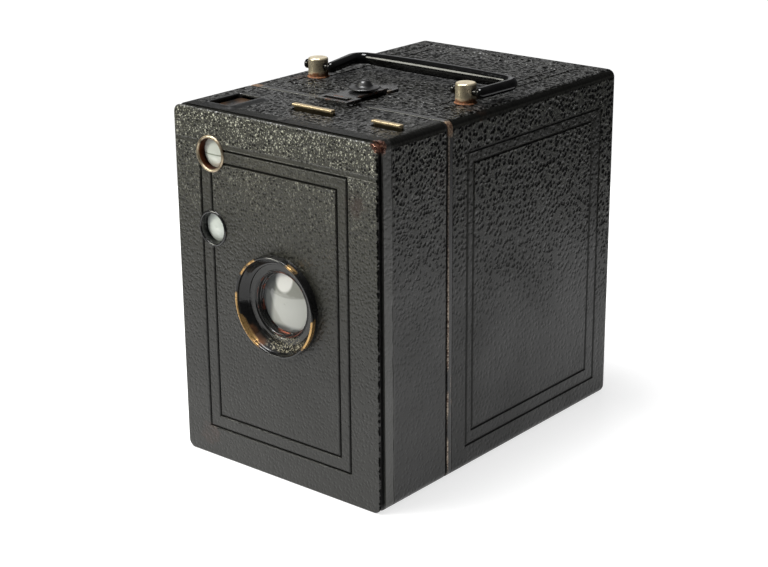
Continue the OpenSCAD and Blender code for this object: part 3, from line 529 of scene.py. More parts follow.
def worn_rim_material(name):
    """The shell's bare rim: black paint rubbed to brown and cream down its corner, the cream line partly a
    painted highlight on the edge.
    """
    s = Shader(name)
    c = colours()
    x, y, z = s.xyz()
    streak_place = s.vector("MULTIPLY", s.place, (1.0, 1.0, 0.13))
    streak = s.noise(800.0, 4.0, 0.6, streak_place)
    fleck = s.noise(1700.0, 3.0, 0.6)
    edge = s.attribute("edge")
    sides = s.step(s.size(x), 0.0389, 0.0397)
    front = s.step(y, REAR_RIM[0].y + 0.0006, REAR_RIM[0].y + 0.0003)
    lower = s.step(z, 0.085, 0.05, 0.35, 0.85)
    # The bare line down the front corner is partly wear and partly a painted highlight along the edge; it is
    # stronger low down.
    line = s.times(sides, front, s.step(edge, 0.05, 0.4))
    line = s.times(line, lower, s.step(streak, 0.4, 0.52))
    tops = s.most(s.near((0.0397, behind_front(33.0), TOP_Z - 0.0022), 0.0026, 0.5),
                  s.near((-0.0378, behind_front(33.4), TOP_Z), 0.004, 0.5))
    marks = s.times(sides, s.step(z, 0.05, 0.02, 0.0, 0.5), s.step(streak, 0.54, 0.66))
    shown = s.most(line, s.times(tops, 0.85), marks)
    bare = s.mix(s.step(fleck, 0.4, 0.6), (0.1, 0.05, 0.033),
                 s.mix(tops, (0.55, 0.46, 0.36), (0.26, 0.18, 0.11)))
    colour = s.mix(shown, scaled(c.enamel, 1.5), bare)
    rough = s.blend(shown, s.step(fleck, 0.3, 0.7, 0.26, 0.42), 0.55)
    s.set(Base_Color=colour, Roughness=rough, Metallic=s.times(shown, 0.3),
          Normal=s.bump(s.minus(s.times(fleck, 0.3), shown), 0.00004), IOR=1.5)
    return s.material


def plain_metal_material(name, colour, rough=0.3, patina=0.35, dark=0.35, brushed=None, foot=None, deep=None):
    """Bare metal with a patina and fine scratches along one axis, with painted shade below a height, and
    darker behind a depth.
    """
    s = Shader(name)
    broad = s.noise(260.0, 4.0, 0.6)
    place = s.vector("MULTIPLY", s.place, brushed) if brushed else s.place
    fine = s.noise(2600.0, 3.0, 0.6, place)
    tarnish = scaled(colour, dark)
    mixed = s.mix(s.step(broad, 0.45, 0.75, 0.0, patina), colour, tarnish)
    mixed = s.mix(s.step(fine, 0.5, 0.8, 0.0, 0.35), mixed, tarnish)
    if foot is not None:
        # Painted shade: much darker below the foot height, where a lower face would be shaded.
        ragged = s.plus(s.xyz()[2], s.times(broad, 0.0002))
        mixed = s.mix(s.step(ragged, foot + 0.0002, foot - 0.0002), mixed, scaled(colour, 0.12))
    if deep is not None:
        mixed = s.mix(s.step(s.xyz()[1], deep, deep + 0.0003), mixed,
                      s.mix(broad, (0.2, 0.06, 0.025), (0.01, 0.006, 0.005)))
    s.set(Base_Color=mixed, Metallic=1.0,
          Roughness=s.plus(s.step(broad, 0.4, 0.75, rough, rough + 0.2), s.step(fine, 0.3, 0.8, -0.04, 0.08)),
          Normal=s.bump(fine, 0.000012, 0.7))
    return s.material


def rusty_nickel_material(name, foot_z):
    """Yellowed nickel plate that has rusted from the foot up."""
    s = Shader(name)
    z = s.xyz()[2]
    broad = s.noise(300.0, 3.0, 0.55)
    fine = s.noise(1500.0, 4.0, 0.65)
    height = s.minus(z, foot_z)
    ragged = s.plus(height, s.swing(broad, 0.0045))
    rust = s.step(ragged, 0.002, 0.0008)
    rust = s.most(rust, s.times(s.step(fine, 0.6, 0.7, 0.0, 0.35), s.step(height, 0.005, 0.0012)))
    bright = s.mix(s.step(broad, 0.45, 0.7, 0.0, 0.35), (0.84, 0.73, 0.52), (0.42, 0.31, 0.16))
    rusty = s.mix(s.step(fine, 0.35, 0.65), (0.24, 0.095, 0.035), (0.1, 0.04, 0.018))
    rusty = s.mix(s.step(ragged, 0.001, 0.0022), rusty, (0.34, 0.16, 0.065))
    s.set(Base_Color=s.mix(rust, bright, rusty), Metallic=s.blend(rust, 0.85, 0.1),
          Roughness=s.blend(rust, s.step(fine, 0.3, 0.75, 0.26, 0.4), 0.82),
          Normal=s.bump(s.times(fine, s.blend(rust, 0.08, 0.8)), 0.00006))
    return s.material


def glass_material(name, colour=(0.93, 0.95, 0.94), painted_glow_haze=0.0, rough=0.02, dust=0.15, line_z=None):
    """Glass with dust; where painted_glow_haze is above 0 it is milky and bright, painted light that stands
    for the lit ground glass seen through it, and the mirror's edge is painted on as one dark line.
    """
    s = Shader(name)
    specks = s.noise(700.0, 4.0, 0.7)
    soft = s.noise(140.0, 2.0)
    tint = s.mix(s.step(soft, 0.35, 0.65), colour, scaled(colour, 0.86))
    # The mirror's edge, painted on as a dark line.
    if line_z is not None:
        away = s.gap(s.xyz()[2], line_z)
        tint = s.mix(s.step(away, 0.00012, 0.00026, 0.75, 0.0), tint, (0.2, 0.24, 0.17))
    # Painted light: with painted_glow_haze the glass is mostly a bright milky base colour.
    s.set(Base_Color=tint, Transmission_Weight=1.0 - painted_glow_haze, IOR=1.52,
          Roughness=s.step(specks, 0.5, 0.85, rough, rough + dust),
          Normal=s.bump(s.noise(60.0, 1.0), 0.00001, 0.4))
    return s.material


def front_lens_material(name):
    """The lens's glass: milky grey, with a painted highlight near the top, a darker painted reflection band
    above a soft step, and darker at its left edge and low down.
    """
    s = Shader(name)
    x, _, z = s.xyz()
    across = s.minus(x, LENS_X)
    above = s.minus(z, LENS_Z)
    # Painted reflection: a darker band above a soft bowed step.
    bow = s.minus(above, s.times(across, across, 22.0))
    upper = s.step(bow, 1.6 * MM, 2.1 * MM)
    # Painted highlight near the top.
    painted_highlight = s.step(s.vector("DISTANCE", s.vector("MULTIPLY", s.place, (1.15, 0.0, 1.0)),
                            ((LENS_X - 0.6 * MM) * 1.15, 0.0, LENS_Z + 7.4 * MM)), 4.5 * MM, 3.4 * MM)
    pale = s.mix(upper, (0.52, 0.53, 0.5), (0.36, 0.365, 0.335))
    pale = s.mix(painted_highlight, pale, (1.0, 1.0, 0.97))
    # Darker at the left edge and low down.
    clear = s.step(s.minus(across, s.times(above, 0.22)), -6.0 * MM, -3.6 * MM, 0.75, 0.0)
    clear = s.most(clear, s.step(above, -6.6 * MM, -8.2 * MM, 0.0, 0.7))
    s.set(Base_Color=s.mix(clear, pale, (0.03, 0.035, 0.045)), Transmission_Weight=0.12, IOR=1.52,
          Roughness=s.step(s.noise(700.0, 4.0, 0.7), 0.5, 0.85, 0.03, 0.12),
          Normal=s.bump(s.noise(60.0, 1.0), 0.00001, 0.4))
    return s.material


def ground_glass_material(name):
    """Near black with brown blotches, which paints in the shade of the dark finder box behind it."""
    s = Shader(name)
    grit = s.noise(6000.0, 3.0, 0.7)
    broad = s.noise(190.0, 3.0)
    # Near-black base colour: painted shade of the dark box behind the glass.
    s.set(Base_Color=s.mix(s.step(broad, 0.4, 0.65), (0.008, 0.008, 0.008), (0.05, 0.026, 0.012)),
          Transmission_Weight=0.25, Roughness=s.step(grit, 0.3, 0.7, 0.3, 0.45), IOR=1.5,
          Normal=s.bump(grit, 0.00001))
    return s.material


def mirror_material(name):
    s = Shader(name)
    spots = s.noise(420.0, 5.0, 0.7)
    s.set(Base_Color=s.mix(s.step(spots, 0.62, 0.75), (0.86, 0.87, 0.88), (0.3, 0.27, 0.22)), Metallic=1.0,
          Roughness=s.step(spots, 0.5, 0.75, 0.03, 0.3))
    return s.material


def matt_black_material(name):
    """Soft black paint inside the camera."""
    s = Shader(name)
    fine = s.noise(1300.0, 4.0, 0.6)
    broad = s.noise(90.0, 3.0)
    s.set(Base_Color=s.mix(broad, (0.009, 0.009, 0.009), (0.022, 0.021, 0.019)),
          Roughness=s.step(fine, 0.3, 0.7, 0.62, 0.85), Normal=s.bump(fine, 0.00005), IOR=1.5)
    return s.material


def celluloid_material(name):
    s = Shader(name)
    broad = s.noise(200.0, 3.0)
    s.set(Base_Color=s.mix(broad, (0.3, 0.008, 0.006), (0.16, 0.004, 0.003)), Transmission_Weight=0.5,
          Roughness=s.step(broad, 0.3, 0.7, 0.08, 0.2), IOR=1.49, Coat_Weight=0.3)
    return s.material


def wood_material(name):
    """Turned wood, its grain along X."""
    s = Shader(name)
    stretched = s.vector("MULTIPLY", s.place, (0.08, 1.0, 1.0))
    grain = s.noise(900.0, 4.0, 0.6, stretched, 0.6)
    pores = s.noise(3800.0, 2.0, 0.5, stretched)
    colour = s.mix(grain, (0.26, 0.14, 0.065), (0.42, 0.26, 0.13))
    colour = s.mix(s.step(pores, 0.55, 0.7, 0.0, 0.7), colour, (0.1, 0.05, 0.025))
    s.set(Base_Color=colour, Roughness=s.step(grain, 0.3, 0.7, 0.4, 0.55),
          Normal=s.bump(s.plus(grain, pores), 0.00004))
    return s.material


MATERIALS = {}


def make_materials():
    """All the finishes, under the names that the pieces ask for."""
    corner = (HIGH.x - 0.0006, FRONT_Y + 0.0012, TOP_Z - 0.0006)
    brown = (0.03, 0.014, 0.009)
    grain, height = sizes().grain_size, sizes().grain_height
    MATERIALS.update(
        front_leather=leather_material(
            "Front_Leather", grain * 0.92, height * 1.25, worn=[(corner, 0.0024)], gloss=0.33, pit_shade=0.7,
            highlight_flecks=1.0, groove_shade=0.85, painted_top_light=2.4, spots=True, dark_edge=HIGH.x - 0.0003,
            stains=[((0.0315, FRONT_Y, 0.094), 0.004, brown), ((-0.03, FRONT_Y, 0.007), 0.004, brown)]),
        side_leather=leather_material(
            "Front_Box_Leather", grain * 1.12, height * 1.2, tone=0.85, smooth_front=behind_front(6.3),
            worn=[(corner, 0.0036)], gloss=0.35, highlight_flecks=0.35, fade=(0.04, 0.1),
            stains=[((0.04, behind_front(29.5), 0.098), 0.004, brown)]),
        rear_leather=leather_material(
            "Rear_Leather", grain * 1.3, height * 1.3, tone=0.85, gloss=0.38, highlight_flecks=0.3, groove_shade=0.1,
            fade=(0.04, 0.105), shine=0.34,
            stains=[((0.0355, behind_front(49.5), TOP_Z), 0.005, (0.06, 0.028, 0.014)),
                    ((-0.0335, behind_front(50.0), TOP_Z), 0.003, (0.05, 0.024, 0.014))]),
        enamel=enamel_material("Black_Enamel"),
        worn_enamel=enamel_material("Rubbed_Enamel", wear=0.2, under=(0.2, 0.15, 0.1)),
        ring_enamel=enamel_material("Ring_Enamel", wear=0.9, under=(0.17, 0.05, 0.03)),
        hood_enamel=hood_material("Hood_Enamel"),
        brown_enamel=enamel_material("Latch_Enamel", wear=0.5, under=(0.12, 0.06, 0.04), gloss=0.24),
        edge_enamel=enamel_material("Body_Metal_Enamel", gloss=0.3, worn=[(corner, 0.0034)]),
        handle_enamel=enamel_material("Handle_Enamel", gloss=0.05, tone=0.5, shine=0.25),
        rim=worn_rim_material("Rim_Enamel"),
        matt_black=matt_black_material("Matt_Black"),
        # The strips' lower faces carry painted shade below this foot height.
        brass=plain_metal_material("Strip_Brass", (0.62, 0.5, 0.32), 0.38, 0.4, 0.35, (1.0, 1.0, 0.15),
                                   foot=TOP_Z + 0.00075),
        plain_brass=plain_metal_material("Spring_Brass", (0.62, 0.47, 0.25), 0.32, 0.5, 0.3),
        dull_brass=plain_metal_material("Ring_Brass", (0.46, 0.38, 0.27), 0.36, 1.0, 0.2,
                                        deep=FRONT_Y - 0.0001),
        nickel=plain_metal_material("Nickel", tuple(colours().nickel), 0.22, 0.4, 0.4),
        rusty_nickel=rusty_nickel_material("Post_Nickel", TOP_Z),
        steel=plain_metal_material("Blued_Steel", (0.2, 0.2, 0.215), 0.28, 0.5, 0.4, (1.0, 1.0, 0.2)),
        lens_glass=front_lens_material("Lens_Glass"),
        # Bright milky finder lenses: painted light standing for the lit ground glass seen through them.
        upper_glass=glass_material("Upper_Finder_Glass", (0.95, 1.0, 0.92), painted_glow_haze=0.9, rough=0.03,
                                   line_z=middle("upper_finder_ring").z - 0.0006),
        lower_glass=glass_material("Lower_Finder_Glass", (0.92, 0.98, 0.93), painted_glow_haze=0.85, rough=0.03),
        ground_glass=ground_glass_material("Ground_Glass"),
        mirror=mirror_material("Mirror"),
        celluloid=celluloid_material("Red_Celluloid"),
        wood=wood_material("Spool_Wood"))


# ---------------------------------------------------------------- mesh helpers


def mesh_of(bm, name):
    mesh = bpy.data.meshes.new(name)
    bm.to_mesh(mesh)
    bm.free()
    return mesh


def placed(name, data):
    """A new object in the scene."""
    thing = bpy.data.objects.new(name, data)
    bpy.context.scene.collection.objects.link(thing)
    return thing


def split_wide_faces(bm):
    bmesh.ops.triangulate(bm, faces=[f for f in bm.faces if len(f.verts) > 4])


def float_layer(bm, name):
    return bm.verts.layers.float.get(name) or bm.verts.layers.float.new(name)


def finished(bm, name, material, body, nodes=(), smooth=32.0):
    """Makes an object of a bmesh, gives it its finish and lets it ride on its body."""
    mesh = mesh_of(bm, name)
    mesh.polygons.foreach_set("use_smooth", [True] * len(mesh.polygons))
    mesh.set_sharp_from_angle(angle=math.radians(smooth))
    piece = placed(name, mesh)
    mesh.materials.append(MATERIALS[material])
    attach(piece, body)
    if nodes:
        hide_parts(*nodes)
    return piece


def weighted(piece):
    """Flat faces stay flat beside rounded edges."""
    modifier = piece.modifiers.new("Weighted Normal", "WEIGHTED_NORMAL")
    modifier.keep_sharp = True
    modifier.weight = 60  # above 50, so that large faces count most
    return piece


def bevel(bm, geom, width, segments, affect="EDGES"):
    bmesh.ops.bevel(bm, geom=geom, offset=width, offset_type="OFFSET", affect=affect, segments=segments,
                    profile=0.5, material=-1, clamp_overlap=affect == "EDGES")


def turn_outward(bm):
    bmesh.ops.recalc_face_normals(bm, faces=bm.faces)
    bm.normal_update()


def round_edges(bm, width, segments=2, angle=28.0):
    sharp = [e for e in bm.edges if e.is_manifold and e.calc_face_angle(0.0) > math.radians(angle)]
    if sharp:
        bevel(bm, sharp, width, segments)


def store_wear(bm):
    """Wear is greatest on the narrow faces that round an edge."""
    layer = float_layer(bm, "edge")
    bm.normal_update()
    for vert in bm.verts:
        bend = max((e.calc_face_angle(0.0) for e in vert.link_edges if e.is_manifold), default=0.0)
        vert[layer] = min(1.0, bend / math.radians(35.0))


def softened(node, material, width, segments=2):
    """A merged copy of a CAD node with its edges rounded, which stands for it."""
    bm = bmesh.new()
    bm.from_mesh(NODES[node].data)
    bmesh.ops.remove_doubles(bm, verts=bm.verts, dist=2e-7)
    bmesh.ops.dissolve_limit(bm, angle_limit=math.radians(0.8), use_dissolve_boundaries=False,
                             verts=bm.verts, edges=bm.edges)
    bm.normal_update()
    round_edges(bm, width, segments)
    store_wear(bm)
    split_wide_faces(bm)
    return weighted(finished(bm, node + "_finished", material, NODES[node]["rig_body"], [node]))


def turned(name, profile, place, material, body, nodes=(), soft=0.00008, segments=2, steps=None):
    """A piece turned from an outline of (radius, height) points in millimetres, closed on itself."""
    bm = bmesh.new()
    ring = [bm.verts.new((r * MM, 0.0, h * MM)) for r, h in profile]
    edges = [bm.edges.new((a, b)) for a, b in zip(ring, ring[1:] + ring[:1])
             if a.co.x > 1e-9 or b.co.x > 1e-9]
    bmesh.ops.spin(bm, geom=ring + edges, cent=(0, 0, 0), axis=(0, 0, 1), angle=math.tau,
                   steps=steps or sizes().turned_steps, use_merge=True, use_duplicate=False)
    bmesh.ops.remove_doubles(bm, verts=bm.verts, dist=CLOSE)
    bmesh.ops.dissolve_degenerate(bm, dist=1e-8, edges=bm.edges)
    turn_outward(bm)
    if soft:
        round_edges(bm, soft, segments, 18.0)
    store_wear(bm)
    bmesh.ops.transform(bm, matrix=place, verts=bm.verts)
    return weighted(finished(bm, name, material, body, nodes))


def bail_path(corners, bend, thin, thick):
    """Points and radii of a round rod through four corners, with rounded bends and domed ends.
    The rod swells from its bends to the middle of its long side."""
    first, second, third, last = corners
    path, radii = [], []
    start = (second - first).normalized()
    for i in range(1, 7):
        angle = math.radians(90 - 15 * i)
        path.append(first - start * thin * math.sin(angle))
        radii.append(thin * math.cos(angle))
    for before, corner, after in ((first, second, third), (second, third, last)):
        inward, onward = (before - corner).normalized(), (after - corner).normalized()
        opening = inward.angle(onward)
        reach = bend / math.tan(opening / 2)
        middle_point = corner + (inward + onward).normalized() * bend / math.sin(opening / 2)
        spoke = corner + inward * reach - middle_point
        normal = spoke.cross(corner + onward * reach - middle_point).normalized()
        for i in range(13):
            turn = Matrix.Rotation((math.pi - opening) * i / 12, 3, normal)
            path.append(middle_point + turn @ spoke)
            radii.append(thin + 0.1 * MM)
        if corner is second:
            far = third + (second - third).normalized() * reach
            near = path[-1]
            for i in range(1, 24):
                share = i / 24
                path.append(near.lerp(far, share))
                radii.append(thin + 0.1 * MM + (thick - thin - 0.1 * MM) * math.sin(math.pi * share) ** 0.6)
    end = (last - third).normalized()
    for i in range(6):
        angle = math.radians(15 * i)
        path.append(last + end * thin * math.sin(angle))
        radii.append(thin * math.cos(angle))
    return path, radii


def swept(name, path, radii, up, material, body, nodes, steps=36):
    """A round rod along a flat path, closed at both ends."""
    bm = bmesh.new()
    rings = []
    for i, (point, radius) in enumerate(zip(path, radii)):
        ahead = (path[min(i + 1, len(path) - 1)] - path[max(i - 1, 0)]).normalized()
        across = ahead.cross(up).normalized()
        rings.append([bm.verts.new(point + (across * math.cos(a) + up * math.sin(a)) * radius)
                      for a in (math.tau * k / steps for k in range(steps))])
    for one, two in zip(rings, rings[1:]):
        for k in range(steps):
            bm.faces.new((one[k - 1], one[k], two[k], two[k - 1]))
    for ring in (rings[0], rings[-1]):
        bm.faces.new(ring)
    turn_outward(bm)
    store_wear(bm)
    return finished(bm, name, material, body, nodes, smooth=60.0)


def facing_front(x, y, z):
    """A turned piece's own +Z points out of the front."""
    return Matrix.Translation((x, y, z)) @ Matrix.Rotation(math.radians(90), 4, "X")


def standing(x, y, z):
    return Matrix.Translation((x, y, z))


def cut_lines(bm, side, axis, places):
    """Cuts the flat faces on one side along planes, for an embossed border."""
    for place in places:
        faces = [f for f in bm.faces if f.normal.dot(side) > SQUARE_ON]
        geom = faces + list({e for f in faces for e in f.edges}) + list({v for f in faces for v in f.verts})
        bmesh.ops.bisect_plane(bm, geom=geom, dist=CLOSE, plane_co=axis * place, plane_no=axis)


# A border line's outline: how far across it, in line widths, and how deep, from 0 to 1.
PROFILE = ((-0.5, 0.0), (-0.36, 0.34), (-0.16, 0.95), (0.16, 0.95), (0.36, 0.34), (0.5, 0.0))


def line_depth(offset, width):
    """Depth of a border line, from 0 to 1, at an offset from its middle."""
    place = offset / width
    for (a, low), (b, high) in zip(PROFILE, PROFILE[1:]):
        if a <= place <= b:
            return low + (high - low) * (place - a) / (b - a)
    return 0.0


def emboss(bm, side, across, along, borders):
    """Presses border rectangles into the flat faces on one side.
    A border is (lowest across, highest across, lowest along, highest along)."""
    width, depth = sizes().line_width, sizes().line_depth
    for name in ("groove", "flat"):
        float_layer(bm, name)
    groove, flat = float_layer(bm, "groove"), float_layer(bm, "flat")
    bm.normal_update()
    for a0, a1, b0, b1 in borders:
        spread = [p[0] * width for p in PROFILE]
        cut_lines(bm, side, across, [e + s for e in (a0, a1) for s in spread])
        cut_lines(bm, side, along, [e + s for e in (b0, b1) for s in spread])
    bm.normal_update()
    moved = {}
    for face in bm.faces:
        if face.normal.dot(side) > SQUARE_ON:
            for vert in face.verts:
                moved[vert] = 0.0
    for vert in moved:
        a, b = vert.co.dot(across), vert.co.dot(along)
        for a0, a1, b0, b1 in borders:
            out_a = max(a0 - a, a - a1)
            out_b = max(b0 - b, b - b1)
            moved[vert] = max(moved[vert], line_depth(max(out_a, out_b), width))
    for vert, share in moved.items():
        a, b = vert.co.dot(across), vert.co.dot(along)
        (o0, o1, p0, p1), (i0, i1, j0, j1) = borders
        outside_inner = max(i0 - a, a - i1, j0 - b, b - j1) >= 0.0
        vert[flat] = float(max(o0 - a, a - o1, p0 - b, b - p1) <= 0.0 and outside_inner)
        vert.co -= side * depth * share
        vert[groove] = share


def leather_plate(name, low, high, side, radius, thick, holes, borders, material, body, nodes, roll=0.0004):
    """A flat leather panel in the XZ plane with rolled edges, round holes and embossed borders."""
    bm = bmesh.new()
    middle_x, middle_z = (low.x + high.x) / 2, (low.z + high.z) / 2
    bmesh.ops.create_grid(bm, x_segments=1, y_segments=1, size=0.5)
    bmesh.ops.scale(bm, vec=(high.x - low.x, high.z - low.z, 1.0), verts=bm.verts)
    bevel(bm, list(bm.verts), radius, 8, "VERTICES")
    face = bm.faces[:][0]
    turn_outward(bm)
    if face.normal.z < 0:
        bmesh.ops.reverse_faces(bm, faces=bm.faces)
    walls = bmesh.ops.extrude_face_region(bm, geom=[face])
    lifted = [v for v in walls["geom"] if isinstance(v, bmesh.types.BMVert)]
    bmesh.ops.translate(bm, vec=(0, 0, thick - roll), verts=lifted)
    bm.normal_update()
    top = max(bm.faces, key=lambda f: f.calc_center_median().z)
    steps = 4
    for i in range(steps):
        a0, a1 = math.radians(90 * i / steps), math.radians(90 * (i + 1) / steps)
        bmesh.ops.inset_region(bm, faces=[top], thickness=roll * (math.cos(a0) - math.cos(a1)),
                               depth=roll * (math.sin(a1) - math.sin(a0)), use_even_offset=True)
    rim = list(top.edges)
    level = top.calc_center_median().z
    bottom = min(bm.faces, key=lambda f: f.calc_center_median().z)
    bmesh.ops.delete(bm, geom=[top, bottom], context="FACES_ONLY")
    hole_rims = []
    for x, z, r in holes:
        made = bmesh.ops.create_circle(bm, cap_ends=False, segments=72, radius=r)
        bmesh.ops.translate(bm, vec=(x - middle_x, z - middle_z, level), verts=made["verts"])
        hole_rims += list({e for v in made["verts"] for e in v.link_edges})
    bmesh.ops.triangle_fill(bm, use_beauty=True, use_dissolve=False, edges=rim + hole_rims, normal=(0, 0, 1))
    bm.normal_update()
    flipped = [f for f in bm.faces if abs(f.normal.z) > 0.999 and f.normal.z < 0]
    if flipped:
        bmesh.ops.reverse_faces(bm, faces=flipped)
    walls = bmesh.ops.extrude_edge_only(bm, edges=hole_rims)
    bmesh.ops.translate(bm, vec=(0, 0, -thick * HOLE_DEPTH),
                        verts=[v for v in walls["geom"] if isinstance(v, bmesh.types.BMVert)])
    turn = Matrix(((1, 0, 0, 0), (0, 0, -1, 0), (0, 1, 0, 0), (0, 0, 0, 1)))
    if side.y < 0:
        place = Matrix.Translation((middle_x, low.y + thick, middle_z)) @ turn
    else:
        flip = Matrix.Diagonal((1, -1, 1, 1))
        place = Matrix.Translation((middle_x, high.y - thick, middle_z)) @ flip @ turn
    bmesh.ops.transform(bm, matrix=place, verts=bm.verts)
    if side.y > 0:
        bmesh.ops.reverse_faces(bm, faces=bm.faces)
    bm.normal_update()
    emboss(bm, side, X, Z, borders)
    split_wide_faces(bm)
    turn_outward(bm)
    outward = sum(f.calc_area() * f.normal.dot(side) for f in bm.faces)
    if outward < 0:
        bmesh.ops.reverse_faces(bm, faces=bm.faces)
    return weighted(finished(bm, name, material, body, nodes))


EDGING = ((0.0, -1.1), (0.0, 0.42), (0.1, 0.6), (0.4, 0.72), (0.95, 0.64), (1.6, 0.4), (2.3, 0.12),
          (2.7, 0.0), (2.7, -0.2))


def edging(low_high, out, across, along, name, nodes):
    """A soft frame round a finder window: its outline runs from the opening outward, in millimetres."""
    low, high = low_high
    centre = (low + high) / 2
    opening = [abs((high - low).dot(axis)) / 2 - 2.1 * MM for axis in (across, along)]
    surface = max(low.dot(out), high.dot(out)) - 0.9 * MM
    bm = bmesh.new()
    loops = []
    for offset, height in EDGING:
        radius = 0.9 * MM + offset * MM
        flat = [side + offset * MM - radius for side in opening]
        loop = []
        for i, (sa, sb) in enumerate(((1, 1), (-1, 1), (-1, -1), (1, -1))):
            for j in range(7):
                turn = math.radians(90 * i + 15 * j)
                a = sa * flat[0] + radius * math.cos(turn)
                b = sb * flat[1] + radius * math.sin(turn)
                at = centre + across * a + along * b
                loop.append(bm.verts.new(at + out * (surface + height * MM - at.dot(out))))
        loops.append(loop)
    for inner, outer in zip(loops, loops[1:] + loops[:1]):
        for i in range(len(inner)):
            bm.faces.new((inner[i - 1], inner[i], outer[i], outer[i - 1]))
    bmesh.ops.recalc_face_normals(bm, faces=bm.faces)
    store_wear(bm)
    return weighted(finished(bm, name, "edge_enamel", "front_unit", nodes, smooth=45.0))


# ---------------------------------------------------------------- pieces


class BOXCAM_OT_finishes(bpy.types.Operator):
    """Makes the finishes that all the pieces use"""

    bl_idname = "box_camera.finishes"
    bl_label = "Finishes"

    def execute(self, context):
        make_materials()
        return {"FINISHED"}


class BOXCAM_OT_carried_nodes(bpy.types.Operator):
    """Gives the frame's own parts their finishes"""

    bl_idname = "box_camera.carried_nodes"
    bl_label = "Frame Finishes"

    FINISH = {"side_leather": ("front_wrap_leather", "front_base_leather"), "rear_leather": ("base_leather",),
              "matt_black": ("light_trap", "lens_barrel", "upper_mirror_box", "lower_mirror_box",
                             "aperture_guide", "shutter_board", "light_cone", "film_gate",
                             "carrier_plate_left", "carrier_plate_right", "rear_shell"),
              "edge_enamel": ("front_shell", "front_plate"), "enamel": ("latch_catch", "red_window_ring"),
              "plain_brass": ("spool_springs",),
              "nickel": ("tripod_bush", "key_bush", "key_sleeve", "upper_roller", "lower_roller"),
              "steel": ("shutter_pins", "shutter_disc", "lever_spring", "spool_pins"),
              "lens_glass": ("front_lens",), "upper_glass": ("upper_finder_lens",),
              "lower_glass": ("lower_finder_lens",), "ground_glass": ("top_window", "side_window"),
              "mirror": ("upper_mirror", "lower_mirror"), "celluloid": ("red_window",),
              "wood": ("supply_spool", "takeup_spool"),}

    def execute(self, context):
        for finish, nodes in self.FINISH.items():
            for node in nodes:
                slots = NODES[node].data.materials
                slots.clear()
                slots.append(MATERIALS[finish])
        return {"FINISHED"}


class BOXCAM_OT_front_panel(bpy.types.Operator):
    """The front's leather panel with its double border"""

    bl_idname = "box_camera.front_panel"
    bl_label = "Front Panel"

    def execute(self, context):
        low, high = PANEL
        rings = [middle(n) for n in ("upper_finder_ring", "lower_finder_ring")]
        ring_r = radius("upper_finder_ring")
        lens_hole, ring_lap = 14.2 * MM, 0.4 * MM
        holes = [(LENS_X, LENS_Z, lens_hole)] + [(r.x, r.z, ring_r - ring_lap) for r in rings]
        borders = [(-29.4 * MM, 28.7 * MM, 10.2 * MM, 101.3 * MM),
                   (-25.0 * MM, 24.8 * MM, 14.6 * MM, 97.3 * MM)]
        grow = 0.1 * MM
        leather_plate("front_leather_panel", Vector((low.x - grow, low.y, low.z - grow)),
                      Vector((high.x + grow, high.y, high.z + grow)), -Y, 2.5 * MM, 0.6 * MM, holes,
                      borders, "front_leather", "front_unit", ["front_leather"], roll=0.35 * MM)
        return {"FINISHED"}


class BOXCAM_OT_back_panel(bpy.types.Operator):
    """The back's leather panel, with its border and the hole for the red window"""

    bl_idname = "box_camera.back_panel"
    bl_label = "Back Panel"

    def execute(self, context):
        low, high = BACK
        window = middle("red_window_ring")
        window_r = radius("red_window_ring")
        borders = [(-29.4 * MM, 29.4 * MM, 10.2 * MM, 102.4 * MM),
                   (-25.0 * MM, 25.0 * MM, 14.6 * MM, 98.0 * MM)]
        leather_plate("back_leather_panel", low, high, Y, 0.4 * MM, 0.6 * MM,
                      [(window.x, window.z, window_r)], borders, "rear_leather", "rear_body",
                      ["back_leather"], roll=0.12 * MM)
        return {"FINISHED"}


class BOXCAM_OT_shell_cover(bpy.types.Operator):
    """The shell's leather over its top, sides and rounded edges, with double borders"""

    bl_idname = "box_camera.shell_cover"
    bl_label = "Shell Cover"

    def execute(self, context):
        front = REAR_RIM[1].y
        r = sizes().edge_radius
        bm = bmesh.new()
        bmesh.ops.create_cube(bm, size=1.0)
        bmesh.ops.scale(bm, vec=(HIGH.x - LOW.x, HIGH.y - front, HIGH.z - LOW.z), verts=bm.verts)
        bmesh.ops.translate(bm, vec=(0.0, (HIGH.y + front) / 2, (HIGH.z + LOW.z) / 2), verts=bm.verts)
        rounded = [e for e in bm.edges if not all(v.co.y < front + 1e-6 for v in e.verts)]
        bevel(bm, rounded, r, 8)
        bm.normal_update()
        open_faces = [f for f in bm.faces if f.normal.y < -0.99 or f.normal.y > 0.9999]
        base = [f for f in bm.faces if f.normal.z < -0.9999]
        bmesh.ops.delete(bm, geom=open_faces + base, context="FACES")
        top_borders = [(-31.6 * MM, 29.6 * MM, behind_front(42.0), behind_front(114.2)),
                       (-26.8 * MM, 25.4 * MM, behind_front(46.4), behind_front(108.7))]
        side_borders = [(behind_front(41.6), behind_front(112.7), 8.0 * MM, 101.9 * MM),
                        (behind_front(44.6), behind_front(107.9), 12.5 * MM, 98.4 * MM)]
        emboss(bm, Z, X, Y, top_borders)
        emboss(bm, X, Y, Z, side_borders)
        emboss(bm, -X, Y, Z, side_borders)
        split_wide_faces(bm)
        bm.normal_update()
        cover_thickness = 0.55 * MM
        bmesh.ops.solidify(bm, geom=bm.faces[:], thickness=cover_thickness)
        weighted(finished(bm, "shell_leather_cover", "rear_leather", "rear_body",
                          ["rear_leather"]))
        return {"FINISHED"}


class BOXCAM_OT_rim(bpy.types.Operator):
    """The shell's bare metal rim with its worn corner"""

    bl_idname = "box_camera.rim"
    bl_label = "Shell Rim"

    def execute(self, context):
        softened("shell_rim", "rim", width=0.00035, segments=3)
        return {"FINISHED"}


